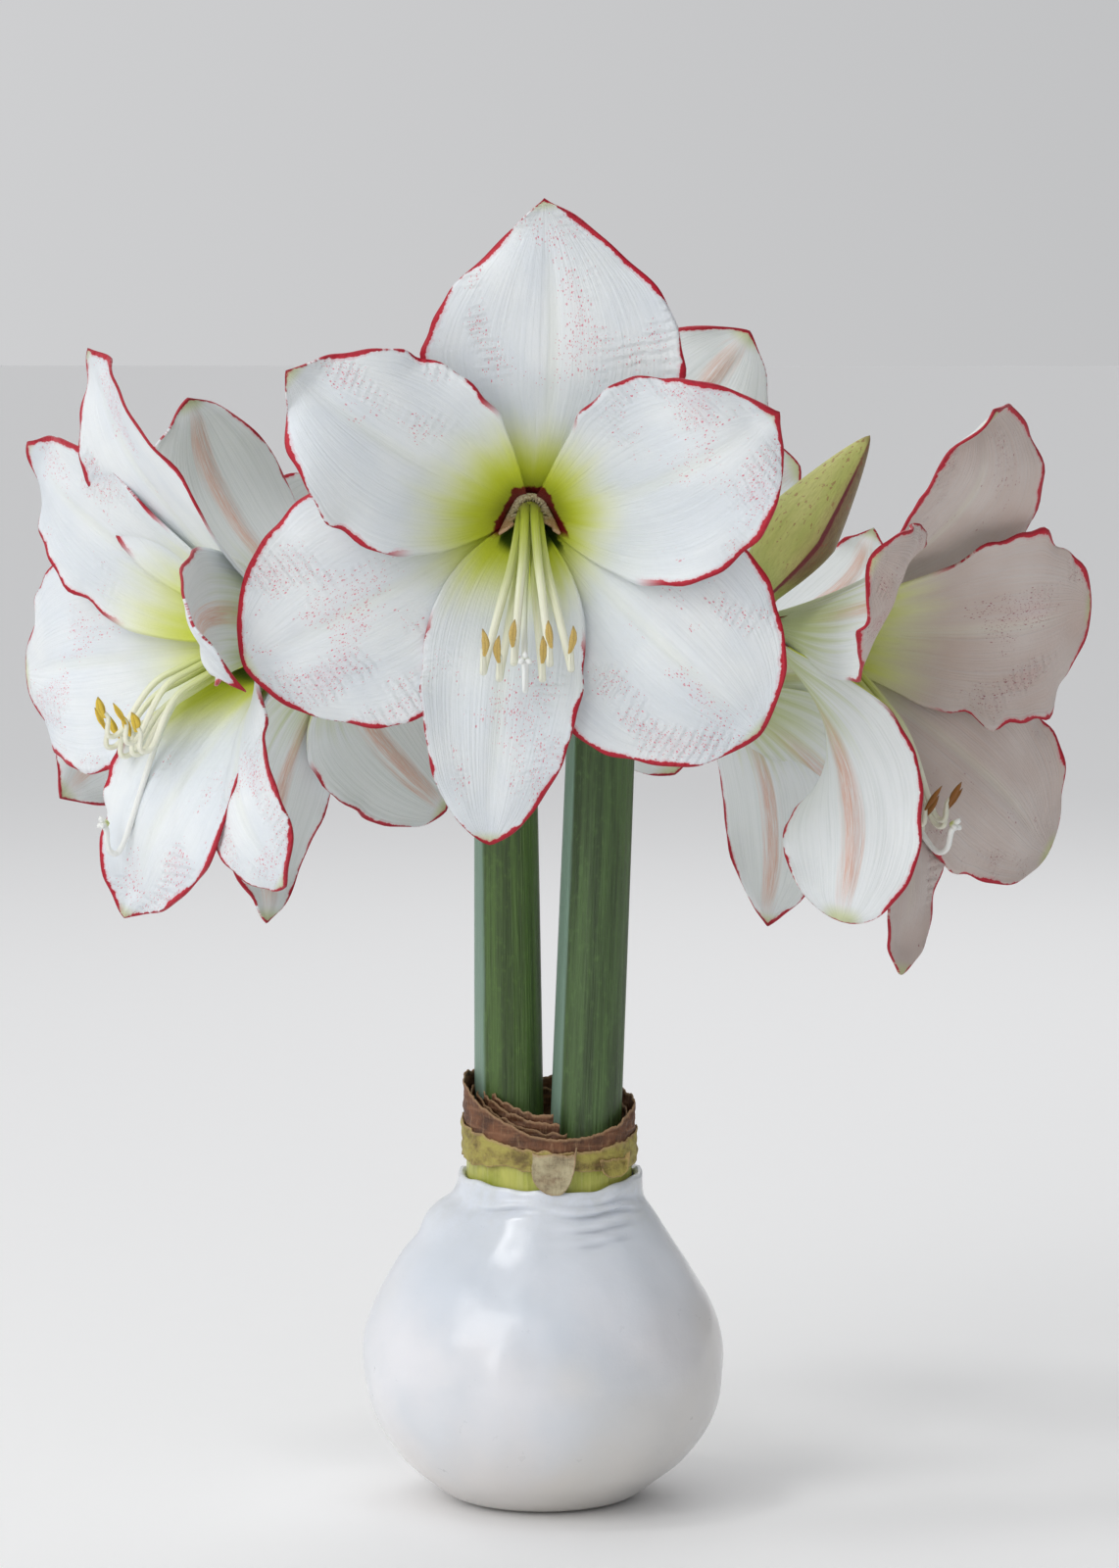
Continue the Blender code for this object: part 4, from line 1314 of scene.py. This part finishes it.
def stamen_mesh(bloom, seed):
    """Six curved filaments that lie low in the throat, each hooked up under its anther."""
    disc, _ = form("stem")
    rim = [(THROAT_DISC, 0), (THROAT_DISC, 0.9), (THROAT_DISC - 0.6, DISC_HEIGHT)]
    spun(disc, [(0, 0), *rim, (0, DISC_HEIGHT)], 32)
    bmesh.ops.recalc_face_normals(disc, faces=disc.faces)
    draw = random.Random(seed)
    up, out = bloom.anthers
    parts = [(disc, 0)]
    for number, sideways in enumerate(ANTHER_PLACES):
        angle = math.radians(60 * number)
        foot = Vector((FILAMENT_RING * math.cos(angle), FILAMENT_RING * math.sin(angle), 0.6))
        sideways += draw.uniform(-1, 1)
        raised = 3 * math.sin(angle) + draw.uniform(-1, 1)
        end = Vector((sideways, up + raised, out - TUBE_FLOOR + raised))
        middle = Vector((0.5 * sideways, 0.5 * end.y + foot.y - HOOK_DEPTH / 3, 0.62 * end.z))
        way = Vector((0, 0.8, 0.6))
        under = end - way * ANTHER_LENGTH / 2
        places = (foot, middle, under - Vector((0, HOOK_DEPTH, 2)), under, end - way * 3)
        handles = ((0, 0, 12), (0.16 * sideways, 0.2 * end.y, 9), (0, -0.5, 4), (0, 1.6, 1.2), way)
        knots = list(zip(places, map(Vector, handles), FILAMENT_RADII))
        parts.append((swept(knots, 16, 56, Vector((1, 0, 0)), number, flattened), 0))
        girth, share, spread = ANTHER_SHAPES[bloom.pollen]
        leaning = Vector((spread * math.sin(3 * number + 0.6), 0.9, 0.42)).normalized()
        parts.append((anther(end - way * 1.4, leaning, number, girth, share * ANTHER_LENGTH), 1))
    bm = together(*parts)
    bmesh.ops.translate(bm, verts=bm.verts, vec=(0, 0, TUBE_FLOOR + TOUCHING))
    return bm


class AMARYLLIS_OT_stamens(bpy.types.Operator):
    """Model the stamens of each bloom"""

    bl_idname = "amaryllis.stamens"
    bl_label = "Stamens"

    def execute(self, context):
        look = context.scene.amaryllis_hearts
        filament = filament_material(look)
        pollen = {name: anther_material(name, getattr(look, name)) for name in ("yellow", "tan", "brown")}
        for order, (name, bloom) in enumerate(BLOOMS.items()):
            bm = placed(stamen_mesh(bloom, 10 * order), bloom)
            finished(f"{name}_stamen_set", bm, [filament, pollen[bloom.pollen]], f"{name}_stamens")
        return {"FINISHED"}


def pistil_mesh(bloom):
    """A style that rises from the throat and turns up at its end, with a three-lobed stigma."""
    up, out = bloom.anthers
    foot = Vector((0, 0, TUBE_FLOOR + DISC_HEIGHT + 2 * TOUCHING))
    middle = Vector((-1.2, 0.53 * up - HOOK_DEPTH / 3 - 1.5, 0.62 * out))
    end = Vector((-0.8, up - 5 - bloom.style_drop, out + 9 - 0.2 * bloom.style_drop))
    places = (foot, middle, end - Vector((0, 1.5 * HOOK_DEPTH, 4)), end - Vector((0, 1.5, 1)), end)
    handles = ((0, 0, 12), (-0.3, 0.25 * up, 9), (0, 1, 4), (0, 1.5, 1), (0, 0.5, 0.4))
    knots = list(zip(places, map(Vector, handles), STYLE_RADII))
    parts = [(swept(knots, 14, 60, Vector((1, 0, 0))), 0)]
    for number in range(3):
        angle = math.radians(90 + 120 * number)
        spread = Vector((math.cos(angle), math.sin(angle), 0.35))
        lobe = [
            (end - Vector((0, 0, 1.4)), spread * 0.5, 0.75),
            (end + spread * 1.3, spread * 0.5, 0.8),
            (end + spread * 2.2, spread * 0.3, 0.25),
        ]
        parts.append((swept(lobe, 12, 10, Vector((0, 0, 1)), 1), 0))
    return together(*parts)


class AMARYLLIS_OT_pistils(bpy.types.Operator):
    """Model the style and three-lobed stigma of each bloom"""

    bl_idname = "amaryllis.pistils"
    bl_label = "Pistils"

    def execute(self, context):
        skin = style_material(context.scene.amaryllis_hearts)
        for name, bloom in BLOOMS.items():
            bm = placed(pistil_mesh(bloom), bloom)
            finished(f"{name}_style", bm, [skin], f"{name}_pistil")
        return {"FINISHED"}


def bud_mesh():
    """A closed bud: three folded tepals that meet in sunken seams, and a point."""
    profile = [(0, 0)]
    for step in range(61):
        share = step / 60
        swell = 0.42 + 0.58 * math.sin(math.pi / 2 * min(share / 0.5, 1)) ** 1.2
        point = (1 - max(share - 0.45, 0) / 0.55) ** 0.75
        profile.append((BUD_RADIUS * swell * point, BUD_LENGTH * share))
    bm, stem, around = form("stem", "around")
    spun(bm, profile, 120)
    bmesh.ops.recalc_face_normals(bm, faces=bm.faces)
    for vertex in bm.verts:
        x, y, z = vertex.co
        along = z / BUD_LENGTH
        angle = math.atan2(y, x) - BUD_TURN
        face = ((angle / math.radians(120) + 0.5) % 1 - 0.5) * 2
        third = abs(face)
        groove = 0.045 * bell(1 - third, 0, 0.07) * smooth_step(0.1, 0.3, along)
        scale = 1 + 0.06 * math.cos(3 * math.atan2(y, x)) * smooth_step(0, 20, z) - groove
        vertex[stem] = (along, 1 - third, face)
        vertex[around] = (x, y, z)
        vertex.co = (x * scale, y * scale, z)
    return bm


class AMARYLLIS_OT_bud(bpy.types.Operator):
    """Model the closed bud"""

    bl_idname = "amaryllis.bud"
    bl_label = "Bud"

    def execute(self, context):
        skin = bud_material(context.scene.amaryllis_stems)
        finished("closed_bud", placed(bud_mesh(), BUD), [skin], "bud")
        return {"FINISHED"}


# Stage


def lamp(name, place, size, power, target, tall):
    light = bpy.data.lights.new(name, "AREA")
    light.shape = "RECTANGLE"
    light.size = size
    light.size_y = size * tall
    light.energy = power
    made = bpy.data.objects.new(name, light)
    made.location = place
    made.rotation_euler = (Vector(target) - Vector(place)).to_track_quat("-Z", "Y").to_euler()
    bpy.context.scene.collection.objects.link(made)


def studio_walls(light):
    """Pale walls, lit from the left and so a little darker towards the right."""
    world = bpy.data.worlds.new("studio")
    world.use_nodes = True
    tree = world.node_tree
    walls = tree.nodes["Background"]
    walls.inputs["Color"].default_value = (0.98, 0.985, 1, 1)
    direction = tree.nodes.new("ShaderNodeTexCoord")
    parts = tree.nodes.new("ShaderNodeSeparateXYZ")
    fall = tree.nodes.new("ShaderNodeMapRange")
    values = (-1, 1, WALL_LIGHT[0] * light, WALL_LIGHT[1] * light)
    for socket, value in zip(("From Min", "From Max", "To Min", "To Max"), values):
        fall.inputs[socket].default_value = value
    tree.links.new(direction.outputs["Generated"], parts.inputs[0])
    tree.links.new(parts.outputs["X"], fall.inputs["Value"])
    tree.links.new(fall.outputs["Result"], walls.inputs["Strength"])
    return world


class AMARYLLIS_OT_stage(bpy.types.Operator):
    """Set up the floor, the soft studio light and the camera"""

    bl_idname = "amaryllis.stage"
    bl_label = "Stage"

    def execute(self, context):
        look = context.scene.amaryllis_stage
        bm = bmesh.new()
        bmesh.ops.create_grid(bm, x_segments=1, y_segments=1, size=FLOOR_REACH)
        data = bpy.data.meshes.new("studio_floor")
        bm.to_mesh(data)
        bm.free()
        data.materials.append(floor_material(look))
        floor = bpy.data.objects.new("studio_floor", data)
        context.scene.collection.objects.link(floor)

        context.scene.world = studio_walls(look.light)
        for name, place, size, power, target, tall in LAMPS:
            lamp(name, place, size, power * look.light, target, tall)

        camera = bpy.data.objects.new("camera", bpy.data.cameras.new("camera"))
        elevation = math.radians(CAMERA_ELEVATION)
        back = Vector((0, -math.cos(elevation), math.sin(elevation)))
        camera.location = Vector(CAMERA_TARGET) + back * CAMERA_DISTANCE
        camera.rotation_mode = "QUATERNION"
        camera.rotation_quaternion = (-back).to_track_quat("-Z", "Y")
        camera.data.lens = LENS
        context.scene.collection.objects.link(camera)
        context.scene.camera = camera
        context.scene.view_settings.view_transform = "Standard"
        return {"FINISHED"}


OPERATORS = (
    AMARYLLIS_OT_wax_coat,
    AMARYLLIS_OT_bulb_neck,
    AMARYLLIS_OT_dry_collar,
    AMARYLLIS_OT_scapes,
    AMARYLLIS_OT_pedicels,
    AMARYLLIS_OT_perianths,
    AMARYLLIS_OT_stamens,
    AMARYLLIS_OT_pistils,
    AMARYLLIS_OT_bud,
    AMARYLLIS_OT_stage,
)


class AMARYLLIS_PT_panel(bpy.types.Panel):
    bl_label = "Waxed amaryllis"
    bl_idname = "AMARYLLIS_PT_panel"
    bl_space_type = "VIEW_3D"
    bl_region_type = "UI"
    bl_category = "Amaryllis"

    def draw(self, context):
        for name in SETTINGS:
            box = self.layout.box()
            group = getattr(context.scene, name)
            for setting in group.bl_rna.properties:
                if setting.identifier not in ("rna_type", "name"):
                    box.prop(group, setting.identifier)
        for operator in OPERATORS:
            self.layout.operator(operator.bl_idname)


def register():
    for name, group in SETTINGS.items():
        bpy.utils.register_class(group)
        setattr(bpy.types.Scene, name, bpy.props.PointerProperty(type=group))
    for operator in OPERATORS:
        bpy.utils.register_class(operator)
    bpy.utils.register_class(AMARYLLIS_PT_panel)


def unregister():
    bpy.utils.unregister_class(AMARYLLIS_PT_panel)
    for operator in reversed(OPERATORS):
        bpy.utils.unregister_class(operator)
    for name, group in reversed(SETTINGS.items()):
        delattr(bpy.types.Scene, name)
        bpy.utils.unregister_class(group)


def main():
    register()
    bpy.ops.amaryllis.stage()
    bpy.ops.amaryllis.wax_coat()
    bpy.ops.amaryllis.bulb_neck()
    bpy.ops.amaryllis.dry_collar()
    bpy.ops.amaryllis.scapes()
    bpy.ops.amaryllis.pedicels()
    bpy.ops.amaryllis.perianths()
    bpy.ops.amaryllis.stamens()
    bpy.ops.amaryllis.pistils()
    bpy.ops.amaryllis.bud()


if __name__ == "__main__":
    main()
